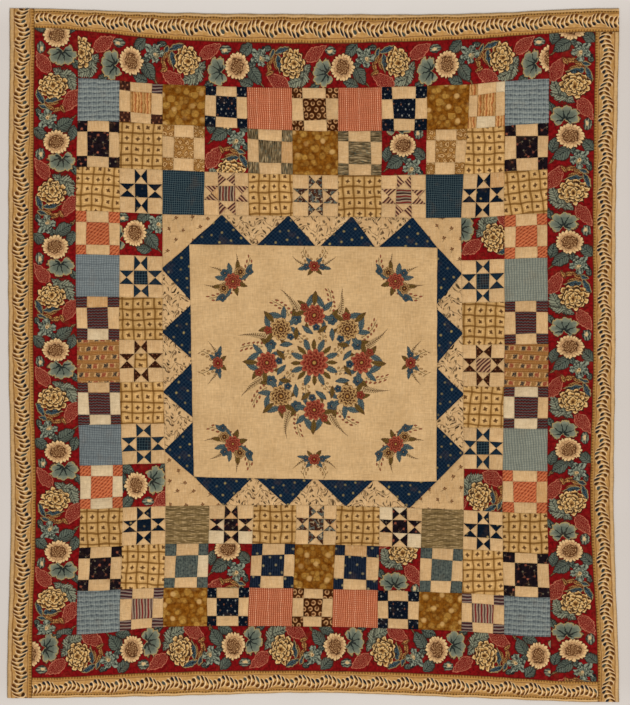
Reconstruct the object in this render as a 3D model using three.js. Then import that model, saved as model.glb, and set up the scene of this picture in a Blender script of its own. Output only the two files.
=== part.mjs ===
// A pieced cotton quilt laid out flat, face up. Sizes are in millimetres and +Z is up.
// +X runs to the right of the quilt and +Y towards its top edge. The origin is under its middle.
// Pieces meet at their seams, one fabric piece to a node: a printed centre square, a ring of triangles
// round it, strips of pieced blocks, four flowered strips and four striped border strips.

import * as THREE from 'three';

// Driving sizes
const blockSize = 136;
const blockColumns = 11;
const blockRows = 13;
const chintzWidth = 136;
const stripeWidth = 80;
const seamGap = 0.3;
const thickness = { hem: 2.4, seam: 3.2, crown: 4.4 };
const unevenness = { height: 0.35, wave: 74 };
const fold = { depth: 0.7, place: 0.5 };
const cornerEase = 3;

// The medallion, from seam to seam: a square of print in a ring of triangles, 7 by 7 blocks in all
const medallion = { left: 4, right: 11, top: 5, bottom: 12 };
const tipShare = 0.003;
const panelSteps = { across: 10, down: 10 };
const ringSteps = { across: 3, down: 2 };
const cornerSteps = { across: 3, down: 3 };

const colours = {
  panel: 0xcbac7e,
  navy: 0x1e3246,
  vine: 0xc9ad80,
  sprig: 0xcfb184,
  blocks: 0xb98f5c,
  chintz: 0x91202c,
  stripe: 0xb48e5c,
};

// Hand sewing leaves every seam a little off its true line. Each row gives a seam's stray in mm at five
// places, and reach is how far out the first and last of them lie.
const halfField = { x: (blockColumns / 2) * blockSize, y: (blockRows / 2) * blockSize };
const reachOf = {
  field: 0,
  stripe: chintzWidth,
  edge: chintzWidth + stripeWidth,
};
const crossColumns = ['kind', 'left', 'innerLeft', 'middle', 'innerRight', 'right'];
const crossSeams = [
  ['edge', 1, -13, -18, -17, 1],
  ['stripe', 19, -16, -31, -18, 6],
  ['field', -5, -24, -36, -25, -6],
  ['field', -3, -15, -36, -30, -12],
  ['field', -14, -24, -40, -37, -23],
  ['field', -17, -28, -35, -40, -26],
  ['field', -20, -26, -31, -39, -30],
  ['field', -17, -22, -27, -37, -31],
  ['field', -19, -20, -25, -35, -32],
  ['field', -19, -17, -23, -31, -32],
  ['field', -17, -13, -19, -25, -30],
  ['field', -10, -4, -10, -20, -28],
  ['field', -12, -3, 0, -15, -27],
  ['field', 1, 13, 12, -4, -18],
  ['field', 0, 10, 7, -7, -21],
  ['field', -2, 22, 23, 8, -10],
  ['stripe', -3, 14, 19, 5, -16],
  ['edge', 12, 18, 29, 14, -1],
];
const longColumns = ['kind', 'top', 'upper', 'middle', 'lower', 'bottom'];
const longSeams = [
  ['edge', 1, -3, -2, 5, -7],
  ['stripe', -1, -4, -4, 4, -9],
  ['field', 2, -5, -2, 9, -3],
  ['field', -3, -2, -3, 8, -2],
  ['field', -1, -2, -1, 8, -1],
  ['field', -2, -6, -2, 10, 3],
  ['field', -6, 0, 5, 14, -3],
  ['field', 1, 4, 9, 15, 1],
  ['field', 11, 11, 8, 6, -8],
  ['field', 14, 12, 8, 7, 1],
  ['field', 22, 17, 12, 6, -6],
  ['field', 21, -5, -1, 2, -5],
  ['field', -3, -5, -5, -11, -5],
  ['field', 1, -5, -2, -5, 5],
  ['stripe', 11, 4, 5, -4, 19],
  ['edge', 7, -4, -5, -10, 7],
];
const innerPlace = { x: 3.5 * blockSize, yUpper: 445, yLower: -485 };

const named = (columns, row) => Object.fromEntries(columns.map((column, k) => [column, row[k]]));

// A smooth run through five readings, level at both ends and flat beyond them
function strayAt(places, readings, where) {
  const last = places.length - 1;
  const at = THREE.MathUtils.clamp(where, places[0], places[last]);
  let k = 0;
  while (k < last - 1 && at > places[k + 1]) k += 1;
  const slopeAt = (i) => {
    if (i === 0 || i === last) return 0;
    return (readings[i + 1] - readings[i - 1]) / (places[i + 1] - places[i - 1]);
  };
  const span = places[k + 1] - places[k];
  const t = (at - places[k]) / span;
  const rise = t * t * (3 - 2 * t);
  const leave = t * (1 - t) * (1 - t) * span * slopeAt(k);
  const arrive = t * t * (t - 1) * span * slopeAt(k + 1);
  return readings[k] + (readings[k + 1] - readings[k]) * rise + leave + arrive;
}

// Height of cross seam number line, counted from the top edge, at x
function crossSeamY(line, x) {
  const seam = named(crossColumns, crossSeams[line]);
  const fromEnd = Math.min(line, crossSeams.length - 1 - line);
  const side = line < crossSeams.length / 2 ? 1 : -1;
  const beyond = [reachOf.edge, reachOf.stripe][fromEnd];
  const trueLine = beyond === undefined ? halfField.y - (line - 2) * blockSize : side * (halfField.y + beyond);
  const reach = halfField.x + reachOf[seam.kind];
  const places = [-reach, -innerPlace.x, 0, innerPlace.x, reach];
  return trueLine + strayAt(places, [seam.left, seam.innerLeft, seam.middle, seam.innerRight, seam.right], x);
}

// Place across the quilt of long seam number line, counted from the left edge, at y
function longSeamX(line, y) {
  const seam = named(longColumns, longSeams[line]);
  const fromEnd = Math.min(line, longSeams.length - 1 - line);
  const side = line < longSeams.length / 2 ? -1 : 1;
  const beyond = [reachOf.edge, reachOf.stripe][fromEnd];
  const trueLine = beyond === undefined ? (line - 2) * blockSize - halfField.x : side * (halfField.x + beyond);
  const reach = halfField.y + reachOf[seam.kind];
  const places = [-reach, innerPlace.yLower, 0, innerPlace.yUpper, reach];
  return trueLine + strayAt(places, [seam.bottom, seam.lower, seam.middle, seam.upper, seam.top], y);
}

function between(lineOf, lines, count, where) {
  const line = Math.min(Math.floor(count), lines - 2);
  return THREE.MathUtils.lerp(lineOf(line, where), lineOf(line + 1, where), count - line);
}

// A point on the quilt from its seam counts: across from the left edge, down from the top edge
function onQuilt(across, down) {
  let x = 0;
  let y = 0;
  for (let pass = 0; pass < 6; pass += 1) {
    x = between(longSeamX, longSeams.length, across, y);
    y = between(crossSeamY, crossSeams.length, down, x);
  }
  return new THREE.Vector2(x, y);
}

// Slight rise and fall of the cloth over the filling
function swell(point) {
  const { height, wave } = unevenness;
  const along = Math.sin(point.x / wave + 1.4 * Math.sin(point.y / (1.6 * wave)));
  const over = Math.sin(point.y / (0.8 * wave) + 1.1 * Math.sin(point.x / (2.1 * wave)));
  return height * along * over;
}

// Draws a grid's rim in by half the seam gap, square to each side
function drawIn(grid) {
  const rows = grid.length - 1;
  const columns = grid[0].length - 1;
  const spread = [];
  for (let i = 0; i <= rows; i += 1) {
    for (let j = 0; j <= columns; j += 1) {
      if (i > 0 && i < rows && j > 0 && j < columns) continue;
      const downward = grid[Math.min(i + 1, rows)][j].clone().sub(grid[Math.max(i - 1, 0)][j]).normalize();
      const rightward = grid[i][Math.min(j + 1, columns)].clone().sub(grid[i][Math.max(j - 1, 0)]).normalize();
      const inside = grid[THREE.MathUtils.clamp(i, 1, rows - 1)][THREE.MathUtils.clamp(j, 1, columns - 1)];
      const towards = inside.clone().sub(grid[i][j]);
      const squareTo = (side) => {
        const square = new THREE.Vector2(-side.y, side.x);
        return square.dot(towards) > 0 ? square : square.negate();
      };
      const inward = [];
      if (j === 0 || j === columns) inward.push(squareTo(downward));
      if (i === 0 || i === rows) inward.push(squareTo(rightward));
      const move = inward[0].clone();
      if (inward.length === 2) move.add(inward[1]).divideScalar(Math.max(1 + inward[0].dot(inward[1]), 0.4));
      spread.push([grid[i][j], move.multiplyScalar(seamGap / 2)]);
    }
  }
  for (const [point, move] of spread) point.add(move);
}

// A closed sheet over a grid of points: a crowned top, a flat underside and walls between them
function sheetGeometry(grid, topOf) {
  const rows = grid.length - 1;
  const columns = grid[0].length - 1;
  const width = columns + 1;
  const layer = (rows + 1) * width;
  const positions = [];
  for (const level of ['top', 'underside']) {
    for (let i = 0; i <= rows; i += 1) {
      for (let j = 0; j <= columns; j += 1) {
        const point = grid[i][j];
        positions.push(point.x, point.y, level === 'top' ? topOf(i, j, point) : 0);
      }
    }
  }
  const faces = [];
  const quad = (a, b, c, d) => faces.push(a, b, c, a, c, d);
  for (let i = 0; i < rows; i += 1) {
    for (let j = 0; j < columns; j += 1) {
      const a = i * width + j;
      quad(a, a + width, a + width + 1, a + 1);
      quad(layer + a, layer + a + 1, layer + a + width + 1, layer + a + width);
    }
  }
  for (let j = 0; j < columns; j += 1) {
    const near = rows * width + j;
    quad(j, j + 1, layer + j + 1, layer + j);
    quad(near + 1, near, layer + near, layer + near + 1);
  }
  for (let i = 0; i < rows; i += 1) {
    const left = i * width;
    const right = left + columns;
    quad(left + width, left, layer + left, layer + left + width);
    quad(right, right + width, layer + right + width, layer + right);
  }
  const geometry = new THREE.BufferGeometry();
  geometry.setAttribute('position', new THREE.Float32BufferAttribute(positions, 3));
  geometry.setIndex(faces);
  geometry.computeVertexNormals();
  return geometry;
}

const quilt = new THREE.Group();
quilt.name = 'quilt';

function addPiece(name, colour, grid, topOf) {
  const material = new THREE.MeshStandardMaterial({ color: colour, roughness: 0.92, metalness: 0 });
  const mesh = new THREE.Mesh(sheetGeometry(grid, topOf), material);
  mesh.name = name;
  quilt.add(mesh);
}

// Steps of half a block from one seam count to another
const halfSteps = (from, to) => Array.from({ length: 2 * (to - from) + 1 }, (_, k) => from + k / 2);

// A strip between two long and two cross seams. Pieced strips dip at every block seam.
function addStrip({ name, colour, across, down, pieced }) {
  const acrossSteps = halfSteps(...across);
  const downSteps = halfSteps(...down);
  const lastLong = longSeams.length - 1;
  const lastCross = crossSeams.length - 1;
  const grid = downSteps.map((d) => acrossSteps.map((a) => onQuilt(a, d)));
  for (const [i, d] of downSteps.entries()) {
    for (const [j, a] of acrossSteps.entries()) {
      const isCorner = (a === 0 || a === lastLong) && (d === 0 || d === lastCross);
      if (isCorner) grid[i][j].multiplyScalar(1 - cornerEase / grid[i][j].length());
    }
  }
  drawIn(grid);
  const topOf = (i, j, point) => {
    const a = acrossSteps[j];
    const d = downSteps[i];
    if (a === 0 || a === lastLong || d === 0 || d === lastCross) return thickness.hem;
    const onRim = i === 0 || j === 0 || i === downSteps.length - 1 || j === acrossSteps.length - 1;
    const onBlockSeam = pieced && (Number.isInteger(a) || Number.isInteger(d));
    return onRim || onBlockSeam ? thickness.seam : thickness.crown + swell(point);
  };
  addPiece(name, colour, grid, topOf);
}

// Places on the medallion. A rim place is a share of the medallion's width and height and keeps to its
// uneven outline; a square place lies on the straight side of the centre square.
const medallionPoint = (share) => onQuilt(
  THREE.MathUtils.lerp(medallion.left, medallion.right, share.x),
  THREE.MathUtils.lerp(medallion.top, medallion.bottom, share.y),
);
function rimPlace(x, y) {
  const share = new THREE.Vector2(x, y);
  return { share, point: medallionPoint(share) };
}
const squarePlace = (side, share) => ({ point: side.from.point.clone().lerp(side.to.point, share) });
function edgeBetween(start, end) {
  if (start.share && end.share) return (t) => medallionPoint(start.share.clone().lerp(end.share, t));
  return (t) => start.point.clone().lerp(end.point, t);
}

// A piece of the medallion between four corners, filled in evenly between its four edges
function addMedallionPiece({ name, colour, corners, steps, creased }) {
  const [topLeft, topRight, bottomRight, bottomLeft] = corners;
  const edges = {
    top: edgeBetween(topLeft, topRight),
    bottom: edgeBetween(bottomLeft, bottomRight),
    left: edgeBetween(topLeft, bottomLeft),
    right: edgeBetween(topRight, bottomRight),
  };
  const grid = [];
  for (let i = 0; i <= steps.down; i += 1) {
    const v = i / steps.down;
    const row = [];
    for (let j = 0; j <= steps.across; j += 1) {
      const u = j / steps.across;
      const point = edges.top(u).multiplyScalar(1 - v).addScaledVector(edges.bottom(u), v);
      point.addScaledVector(edges.left(v), 1 - u).addScaledVector(edges.right(v), u);
      point.addScaledVector(topLeft.point, -(1 - u) * (1 - v)).addScaledVector(topRight.point, -u * (1 - v));
      point.addScaledVector(bottomLeft.point, -(1 - u) * v).addScaledVector(bottomRight.point, -u * v);
      row.push(point);
    }
    grid.push(row);
  }
  drawIn(grid);
  const topOf = (i, j, point) => {
    const onRim = i === 0 || j === 0 || i === steps.down || j === steps.across;
    const crease = creased && j / steps.across === fold.place ? fold.depth : 0;
    return (onRim ? thickness.seam : thickness.crown + swell(point)) - crease;
  };
  addPiece(name, colour, grid, topOf);
}

// Striped border strips and flowered strips, lapped round the quilt as they were sewn on
const surrounds = [
  { name: 'stripe_left', colour: colours.stripe, across: [0, 1], down: [0, 17] },
  { name: 'stripe_top', colour: colours.stripe, across: [1, 15], down: [0, 1] },
  { name: 'stripe_right', colour: colours.stripe, across: [14, 15], down: [1, 17] },
  { name: 'stripe_bottom', colour: colours.stripe, across: [1, 14], down: [16, 17] },
  { name: 'chintz_left', colour: colours.chintz, across: [1, 2], down: [1, 15] },
  { name: 'chintz_top', colour: colours.chintz, across: [2, 13], down: [1, 2] },
  { name: 'chintz_right', colour: colours.chintz, across: [13, 14], down: [1, 16] },
  { name: 'chintz_bottom', colour: colours.chintz, across: [1, 13], down: [15, 16] },
];
surrounds.forEach(addStrip);

// Whole rows of blocks above and below the medallion, and whole columns beside it
const rowsAbove = medallion.top - 2;
for (let row = 0; row < blockRows; row += 1) {
  const beside = row >= rowsAbove && row < rowsAbove + medallion.bottom - medallion.top;
  if (beside) continue;
  const name = `blocks_row_${String(row + 1).padStart(2, '0')}`;
  addStrip({ name, colour: colours.blocks, across: [2, 13], down: [row + 2, row + 3], pieced: true });
}
for (const [name, first] of [['left_outer', 2], ['left_inner', 3], ['right_inner', 11], ['right_outer', 12]]) {
  const down = [medallion.top, medallion.bottom];
  addStrip({ name: `blocks_${name}`, colour: colours.blocks, across: [first, first + 1], down, pieced: true });
}

// The centre square, its corners as shares of the medallion
const squareCorner = (x, y) => ({ point: medallionPoint(new THREE.Vector2(x, y)) });
const square = {
  topLeft: squareCorner(0.092, 0.101),
  topRight: squareCorner(0.905, 0.1),
  bottomRight: squareCorner(0.905, 0.905),
  bottomLeft: squareCorner(0.094, 0.902),
};
addMedallionPiece({
  name: 'centre_panel',
  colour: colours.panel,
  corners: [square.topLeft, square.topRight, square.bottomRight, square.bottomLeft],
  steps: panelSteps,
  creased: true,
});

// Each side of the ring, clockwise from the top: where the triangles' points meet the rim, as shares of the
// medallion, and where their bases start and end, as shares of the square's side
const ring = [
  {
    name: 'top',
    points: [0.199, 0.413, 0.616, 0.815],
    bases: [[0, 0.251], [0.272, 0.508], [0.529, 0.748], [0.766, 1]],
    rim: (share) => rimPlace(share, 0),
    corner: [1, 0],
    from: square.topLeft,
    to: square.topRight,
  },
  {
    name: 'right',
    points: [0.187, 0.39, 0.598, 0.803],
    bases: [[0, 0.243], [0.264, 0.493], [0.514, 0.739], [0.76, 1]],
    rim: (share) => rimPlace(1, share),
    corner: [1, 1],
    from: square.topRight,
    to: square.bottomRight,
  },
  {
    name: 'bottom',
    points: [0.813, 0.602, 0.399, 0.19],
    bases: [[0, 0.24], [0.262, 0.49], [0.51, 0.742], [0.762, 1]],
    rim: (share) => rimPlace(share, 1),
    corner: [0, 1],
    from: square.bottomRight,
    to: square.bottomLeft,
  },
  {
    name: 'left',
    points: [0.811, 0.606, 0.401, 0.186],
    bases: [[0, 0.236], [0.256, 0.49], [0.51, 0.74], [0.76, 1]],
    rim: (share) => rimPlace(0, share),
    corner: [0, 0],
    from: square.bottomLeft,
    to: square.topLeft,
  },
];
const halfTip = (side) => tipShare * Math.sign(side.points[1] - side.points[0]);

for (const side of ring) {
  const tips = side.points.map((point) => [side.rim(point - halfTip(side)), side.rim(point + halfTip(side))]);
  const bases = side.bases.map((base) => base.map((share) => squarePlace(side, share)));
  for (const k of tips.keys()) {
    addMedallionPiece({
      name: `triangle_${side.name}_${k + 1}`,
      colour: colours.navy,
      corners: [tips[k][0], tips[k][1], bases[k][1], bases[k][0]],
      steps: ringSteps,
    });
    if (k === tips.length - 1) continue;
    addMedallionPiece({
      name: `vine_${side.name}_${k + 1}`,
      colour: colours.vine,
      corners: [tips[k][1], tips[k + 1][0], bases[k + 1][0], bases[k][1]],
      steps: ringSteps,
    });
  }
}

// Corner pieces of the ring, each from the last triangle of one side to the first of the next
for (const [k, side] of ring.entries()) {
  const next = ring[(k + 1) % ring.length];
  const lastTip = side.rim(side.points[side.points.length - 1] + halfTip(side));
  const firstTip = next.rim(next.points[0] - halfTip(next));
  addMedallionPiece({
    name: `corner_after_${side.name}`,
    colour: colours.sprig,
    corners: [lastTip, rimPlace(...side.corner), firstTip, side.to],
    steps: cornerSteps,
  });
}

export default quilt;
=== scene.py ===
import math
import random

import bmesh
import bpy
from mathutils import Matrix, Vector, noise


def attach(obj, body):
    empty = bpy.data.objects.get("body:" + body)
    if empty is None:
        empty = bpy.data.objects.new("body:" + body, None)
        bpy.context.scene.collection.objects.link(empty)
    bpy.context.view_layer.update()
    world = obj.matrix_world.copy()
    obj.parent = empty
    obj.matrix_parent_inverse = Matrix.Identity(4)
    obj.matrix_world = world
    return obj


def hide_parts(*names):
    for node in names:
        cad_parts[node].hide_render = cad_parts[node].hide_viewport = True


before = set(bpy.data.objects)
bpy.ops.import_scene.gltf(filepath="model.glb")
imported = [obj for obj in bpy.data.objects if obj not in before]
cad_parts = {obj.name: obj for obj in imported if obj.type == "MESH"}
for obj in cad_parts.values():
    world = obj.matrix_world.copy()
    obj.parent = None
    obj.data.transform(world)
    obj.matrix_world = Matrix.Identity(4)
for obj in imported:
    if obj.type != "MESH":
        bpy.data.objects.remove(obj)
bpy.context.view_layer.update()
mm = 0.001
print("frame loaded:", len(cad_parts), "solids")

# Seams
quiltPlan = {
    "block": 136.0,
    "columns": 11,
    "rows": 13,
    "chintz": 136.0,
    "stripe": 80.0,
    "medallionLeft": 4,
    "medallionRight": 11,
    "medallionTop": 5,
    "medallionBottom": 12,
    "wobble": 1.6,
    "wobbleSize": 60.0,
}
halfWide = quiltPlan["columns"] * quiltPlan["block"] / 2
halfHigh = quiltPlan["rows"] * quiltPlan["block"] / 2
lastLong = quiltPlan["columns"] + 4
lastCross = quiltPlan["rows"] + 4

# how far each seam strays from its true line, from the hem at the top to the one at the bottom:
# mm at the left, inner left, middle, inner right and right
crossSeams = [
    (1, -13, -18, -17, 1),
    (19, -16, -31, -18, 6),
    (-5, -24, -36, -25, -6),
    (-3, -15, -36, -30, -12),
    (-14, -24, -40, -37, -23),
    (-17, -28, -35, -40, -26),
    (-20, -26, -31, -39, -30),
    (-17, -22, -27, -37, -31),
    (-19, -20, -25, -35, -32),
    (-19, -17, -23, -31, -32),
    (-17, -13, -19, -25, -30),
    (-10, -4, -10, -20, -28),
    (-12, -3, 0, -15, -27),
    (1, 13, 12, -4, -18),
    (0, 10, 7, -7, -21),
    (-2, 22, 23, 8, -10),
    (-3, 14, 19, 5, -16),
    (12, 18, 29, 14, -1),
]
# and from the left to the right: mm at the top, upper part, middle, lower part and bottom
longSeams = [
    (1, -3, -2, 5, -7),
    (-1, -4, -4, 4, -9),
    (2, -5, -2, 9, -3),
    (-3, -2, -3, 8, -2),
    (-1, -2, -1, 8, -1),
    (-2, -6, -2, 10, 3),
    (-6, 0, 5, 14, -3),
    (1, 4, 9, 15, 1),
    (11, 11, 8, 6, -8),
    (14, 12, 8, 7, 1),
    (22, 17, 12, 6, -6),
    (21, -5, -1, 2, -5),
    (-3, -5, -5, -11, -5),
    (1, -5, -2, -5, 5),
    (11, 4, 5, -4, 19),
    (7, -4, -5, -10, 7),
]
innerX, innerUpper, innerLower = 476.0, 445.0, -485.0  # mm from the middle to where the seams were read


def strayAt(places, readings, where):
    # a smooth run through five readings, level at both ends
    at = min(max(where, places[0]), places[-1])
    k = 0
    while k < 3 and at > places[k + 1]:
        k += 1

    def slope(i):
        return 0.0 if i in (0, 4) else (readings[i + 1] - readings[i - 1]) / (places[i + 1] - places[i - 1])

    span = places[k + 1] - places[k]
    t = (at - places[k]) / span
    rise = t * t * (3 - 2 * t)
    leave = t * (1 - t) * (1 - t) * span * slope(k)
    arrive = t * t * (t - 1) * span * slope(k + 1)
    return readings[k] + (readings[k + 1] - readings[k]) * rise + leave + arrive


def beyondField(count, last):
    # mm from the pieced field's edge out to a seam, 0 inside the field
    fromEnd = min(count, last - count)
    if fromEnd > 1:
        return 0.0
    return quiltPlan["chintz"] + (quiltPlan["stripe"] if fromEnd == 0 else 0.0)


def lineBase(count, last, half):
    beyond = beyondField(count, last)
    if beyond == 0:
        return (count - 2) * quiltPlan["block"] - half
    return -half - beyond if count < last / 2 else half + beyond


def crossSeamY(count, x):
    reach = halfWide + beyondField(count, lastCross)
    places = [-reach, -innerX, 0, innerX, reach]
    return strayAt(places, crossSeams[count], x) - lineBase(count, lastCross, halfHigh)


def longSeamX(count, y):
    reach = halfHigh + beyondField(count, lastLong)
    places = [-reach, innerLower, 0, innerUpper, reach]
    return strayAt(places, longSeams[count][::-1], y) + lineBase(count, lastLong, halfWide)


def seamMix(seamAt, last, count, where):
    low = min(int(count), last - 1)
    share = count - low
    return seamAt(low, where) * (1 - share) + seamAt(low + 1, where) * share


def onQuilt(across, down):
    # a point in mm from its seam counts: across from the left edge, down from the top edge
    x = y = 0.0
    for _ in range(4):  # the seams lean on one another, so the place is found in rounds
        x = seamMix(longSeamX, lastLong, across, y)
        y = seamMix(crossSeamY, lastCross, down, x)
    return Vector((x, y))


def wobbled(point):
    # hand sewing: every seam wavers a little
    size, reach = quiltPlan["wobbleSize"], quiltPlan["wobble"]
    sideways = noise.noise(Vector((point.x / size, point.y / size, 3.7)))
    lengthways = noise.noise(Vector((point.x / size, point.y / size, 9.1)))
    return Vector((point.x + reach * sideways, point.y + reach * lengthways))


# Relief of the cloth, in mm
relief = {
    "hem": 1.5,
    "hemReach": 9.0,
    "seam": 2.2,
    "crown": 5.6,
    "puff": 13.0,
    "wrinkle": 0.9,
    "wrinkleSize": 38.0,
    "pucker": 0.55,
    "puckerSize": 11.0,
    "puckerReach": 16.0,
    "crease": 1.3,
    "creaseReach": 9.0,
    "creaseBend": 4.0,
    "creaseBendSize": 160.0,
    "creaseX": 6.0,
    "creaseY": -336.0,
}


def heightAt(point, fromSeam, fromHem):
    x, y = point
    size = relief["wrinkleSize"]
    puffed = 1 - math.exp(-fromSeam / relief["puff"])
    height = relief["seam"] + (relief["crown"] - relief["seam"]) * puffed
    wrinkle = noise.noise(Vector((x / size, y / size, 0)))
    wrinkle += 0.5 * noise.noise(Vector((2.3 * x / size, 2.3 * y / size, 5)))
    height += relief["wrinkle"] * wrinkle * puffed
    pucker = noise.noise(Vector((x / relief["puckerSize"], y / relief["puckerSize"], 2)))
    height += relief["pucker"] * pucker * math.exp(-fromSeam / relief["puckerReach"])
    size = relief["creaseBendSize"]
    bend = relief["creaseBend"] * noise.noise(Vector((x / size, y / size, 7)))
    for away in (x - relief["creaseX"], y - relief["creaseY"]):
        height -= relief["crease"] * math.exp(-(((away + bend) / relief["creaseReach"]) ** 2))
    hem = math.exp(-fromHem / relief["hemReach"])
    return max(height * (1 - hem) + relief["hem"] * hem, 0.8)


# Shader maths
class Reading:
    # one value or colour in a material; an expression on readings adds its Math nodes
    def __init__(self, tree, socket=None):
        self.tree = tree
        self.socket = socket

    def node(self, kind, settings, inputs, output=0):
        made = self.tree.nodes.new(kind)
        for setting, value in settings.items():
            setattr(made, setting, value)
        for place, value in inputs.items():
            socket = made.inputs[place]
            if isinstance(value, Reading):
                self.tree.links.new(value.socket, socket)
            elif isinstance(value, tuple):
                socket.default_value = value[: len(socket.default_value)]
            else:
                socket.default_value = value
        return Reading(self.tree, made.outputs[output] if made.outputs else None)

    def maths(self, operation, *others, clamp=False):
        settings = {"operation": operation, "use_clamp": clamp}
        return self.node("ShaderNodeMath", settings, dict(enumerate((self,) + others)))

    def __add__(self, other):
        return self.maths("ADD", other)

    def __sub__(self, other):
        return self.maths("SUBTRACT", other)

    def __rsub__(self, other):
        return self.node("ShaderNodeMath", {"operation": "SUBTRACT"}, {0: other, 1: self})

    def __mul__(self, other):
        return self.maths("MULTIPLY", other)

    __radd__ = __add__
    __rmul__ = __mul__


def mathsOf(operation):
    # a function that adds one Math node
    return lambda value, *others: value.maths(operation, *others)


sinOf, cosOf = mathsOf("SINE"), mathsOf("COSINE")
floorOf, fractOf = mathsOf("FLOOR"), mathsOf("FRACT")
sizeOf, rootOf = mathsOf("ABSOLUTE"), mathsOf("SQRT")
highest, lowest = mathsOf("MAXIMUM"), mathsOf("MINIMUM")
angleOf = mathsOf("ARCTAN2")  # from down, then across
scaled = mathsOf("MULTIPLY_ADD")  # a value, times the second, plus the third


def bothOf(vector):
    # the first two parts of a vector
    parts = vector.node("ShaderNodeSeparateXYZ", {}, {0: vector})
    return parts, Reading(parts.tree, parts.socket.node.outputs["Y"])


def ramp(value, low, high):
    step = 1 / (high - low)
    return value.maths("MULTIPLY_ADD", step, -low * step, clamp=True)


def below(value, edge, soft=0.7):
    return value.maths("MULTIPLY_ADD", -0.5 / soft, 0.5 * edge / soft + 0.5, clamp=True)


def wave(value, period, phase=0.0):
    return scaled(sinOf(scaled(value, 2 * math.pi / period, phase)), 0.5, 0.5)


def line(distance, width, soft=0.5):
    return below(sizeOf(distance), width / 2, soft)


def reachOf(across, down):
    return rootOf(scaled(across, across, down * down))


def dotAt(across, down, radius, soft=0.6):
    return below(reachOf(across, down), radius, soft)


def wrapped(value, centre, repeat):
    return scaled(fractOf(scaled(value, 1 / repeat, 0.5 - centre / repeat)), repeat, -repeat / 2)


def stripesOn(value, start, repeat, width, soft):
    return line(wrapped(value, start, repeat), width, soft)


def turned(across, down, degrees):
    c, s = math.cos(math.radians(degrees)), math.sin(math.radians(degrees))
    return scaled(across, c, down * s), scaled(down, c, across * -s)


def lattice(across, down, pitchAcross, pitchDown):
    # the nearest place of a staggered lattice of motifs
    rows = down * (1 / pitchDown)
    shift = fractOf(floorOf(rows) * 0.5)
    place = fractOf(scaled(across, 1 / pitchAcross, shift))
    return scaled(place, pitchAcross, -pitchAcross / 2), scaled(fractOf(rows), pitchDown, -pitchDown / 2)


def noiseAt(across, down, size, seed, inputs, output=0):
    place = across.node("ShaderNodeCombineXYZ", {}, {0: across, 1: down, 2: seed * size})
    inputs = {"Vector": place, "Scale": 1 / size, **inputs}
    return across.node("ShaderNodeTexNoise", {"noise_dimensions": "3D"}, inputs, output)


def cloudOf(across, down, size, detail=1, seed=0.0):
    inputs = {"Detail": float(detail), "Roughness": 0.6}
    return ramp(noiseAt(across, down, size, seed, inputs), 0.28, 0.72)


def drifted(across, down, size, reach, seed):
    # the same place, moved a little by slow noise
    one, other = bothOf(noiseAt(across, down, size, seed, {"Detail": 1.0}, "Color"))
    times = 5 * reach
    return scaled(one, times, across - times / 2), scaled(other, times, down - times / 2)


def turnedBy(across, down, angle):
    c, s = cosOf(angle), sinOf(angle)
    return across * c + down * s, down * c - across * s


def scattered(across, down, pitchAcross, pitchDown, seed, jitter):
    # a loose lattice of motifs: the place from the nearest one, and its own chance from 0 to 1
    rows = down * (1 / pitchDown)
    row = floorOf(rows)
    place = scaled(across, 1 / pitchAcross, fractOf(row * 0.5))
    cell = place.node("ShaderNodeCombineXYZ", {}, {0: floorOf(place), 1: row, 2: seed})
    chance = cell.node("ShaderNodeTexWhiteNoise", {"noise_dimensions": "3D"}, {"Vector": cell}, "Value")
    a = scaled(fractOf(place), pitchAcross, scaled(chance, jitter, -pitchAcross / 2 - jitter / 2))
    b = scaled(fractOf(rows), pitchDown, scaled(fractOf(chance * 7.3), jitter, -pitchDown / 2 - jitter / 2))
    return a, b, chance


def dye(red, green, blue):
    # a colour as it shows on a screen, from 0 to 255
    levels = [channel / 255 for channel in (red, green, blue)]
    return tuple(v / 12.92 if v <= 0.04045 else ((v + 0.055) / 1.055) ** 2.4 for v in levels) + (1.0,)


def paint(base, mask, colour):
    return mask.node("ShaderNodeMix", {"data_type": "RGBA"}, {0: mask, 6: base, 7: colour}, 2)


def shade(colour, amount):
    return amount.node("ShaderNodeVectorMath", {"operation": "SCALE"}, {0: colour, "Scale": amount})


# Flowered chintz: across is in from the strip's outer edge, down runs along it
chintzDye = {
    "red": dye(138, 18, 20),
    "redDeep": dye(84, 8, 8),
    "madder": dye(112, 24, 20),
    "madderDot": dye(194, 118, 88),
    "bloom": dye(200, 154, 106),
    "bloomPale": dye(222, 184, 130),
    "gold": dye(204, 158, 92),
    "goldPale": dye(234, 196, 138),
    "goldShade": dye(120, 76, 34),
    "bloomShade": dye(52, 28, 14),
    "heart": dye(98, 60, 32),
    "heartSeed": dye(176, 134, 90),
    "leaf": dye(94, 100, 86),
    "leafPale": dye(134, 134, 110),
    "leafDark": dye(26, 30, 30),
    "petal": dye(142, 146, 124),
    "slate": dye(70, 88, 94),
    "rim": dye(166, 138, 88),
    "ember": dye(186, 132, 74),
}


def leafLook(body, dark, rim, rimWidth=1.2, rib=6.0, lean=0.25, teeth=0.0, dots=0.0):
    return {
        "body": chintzDye[body],
        "dark": chintzDye[dark],
        "rim": chintzDye[rim],
        "rimWidth": rimWidth,
        "rib": rib,
        "lean": lean,
        "teeth": teeth,
        "dots": dots,
    }


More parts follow.
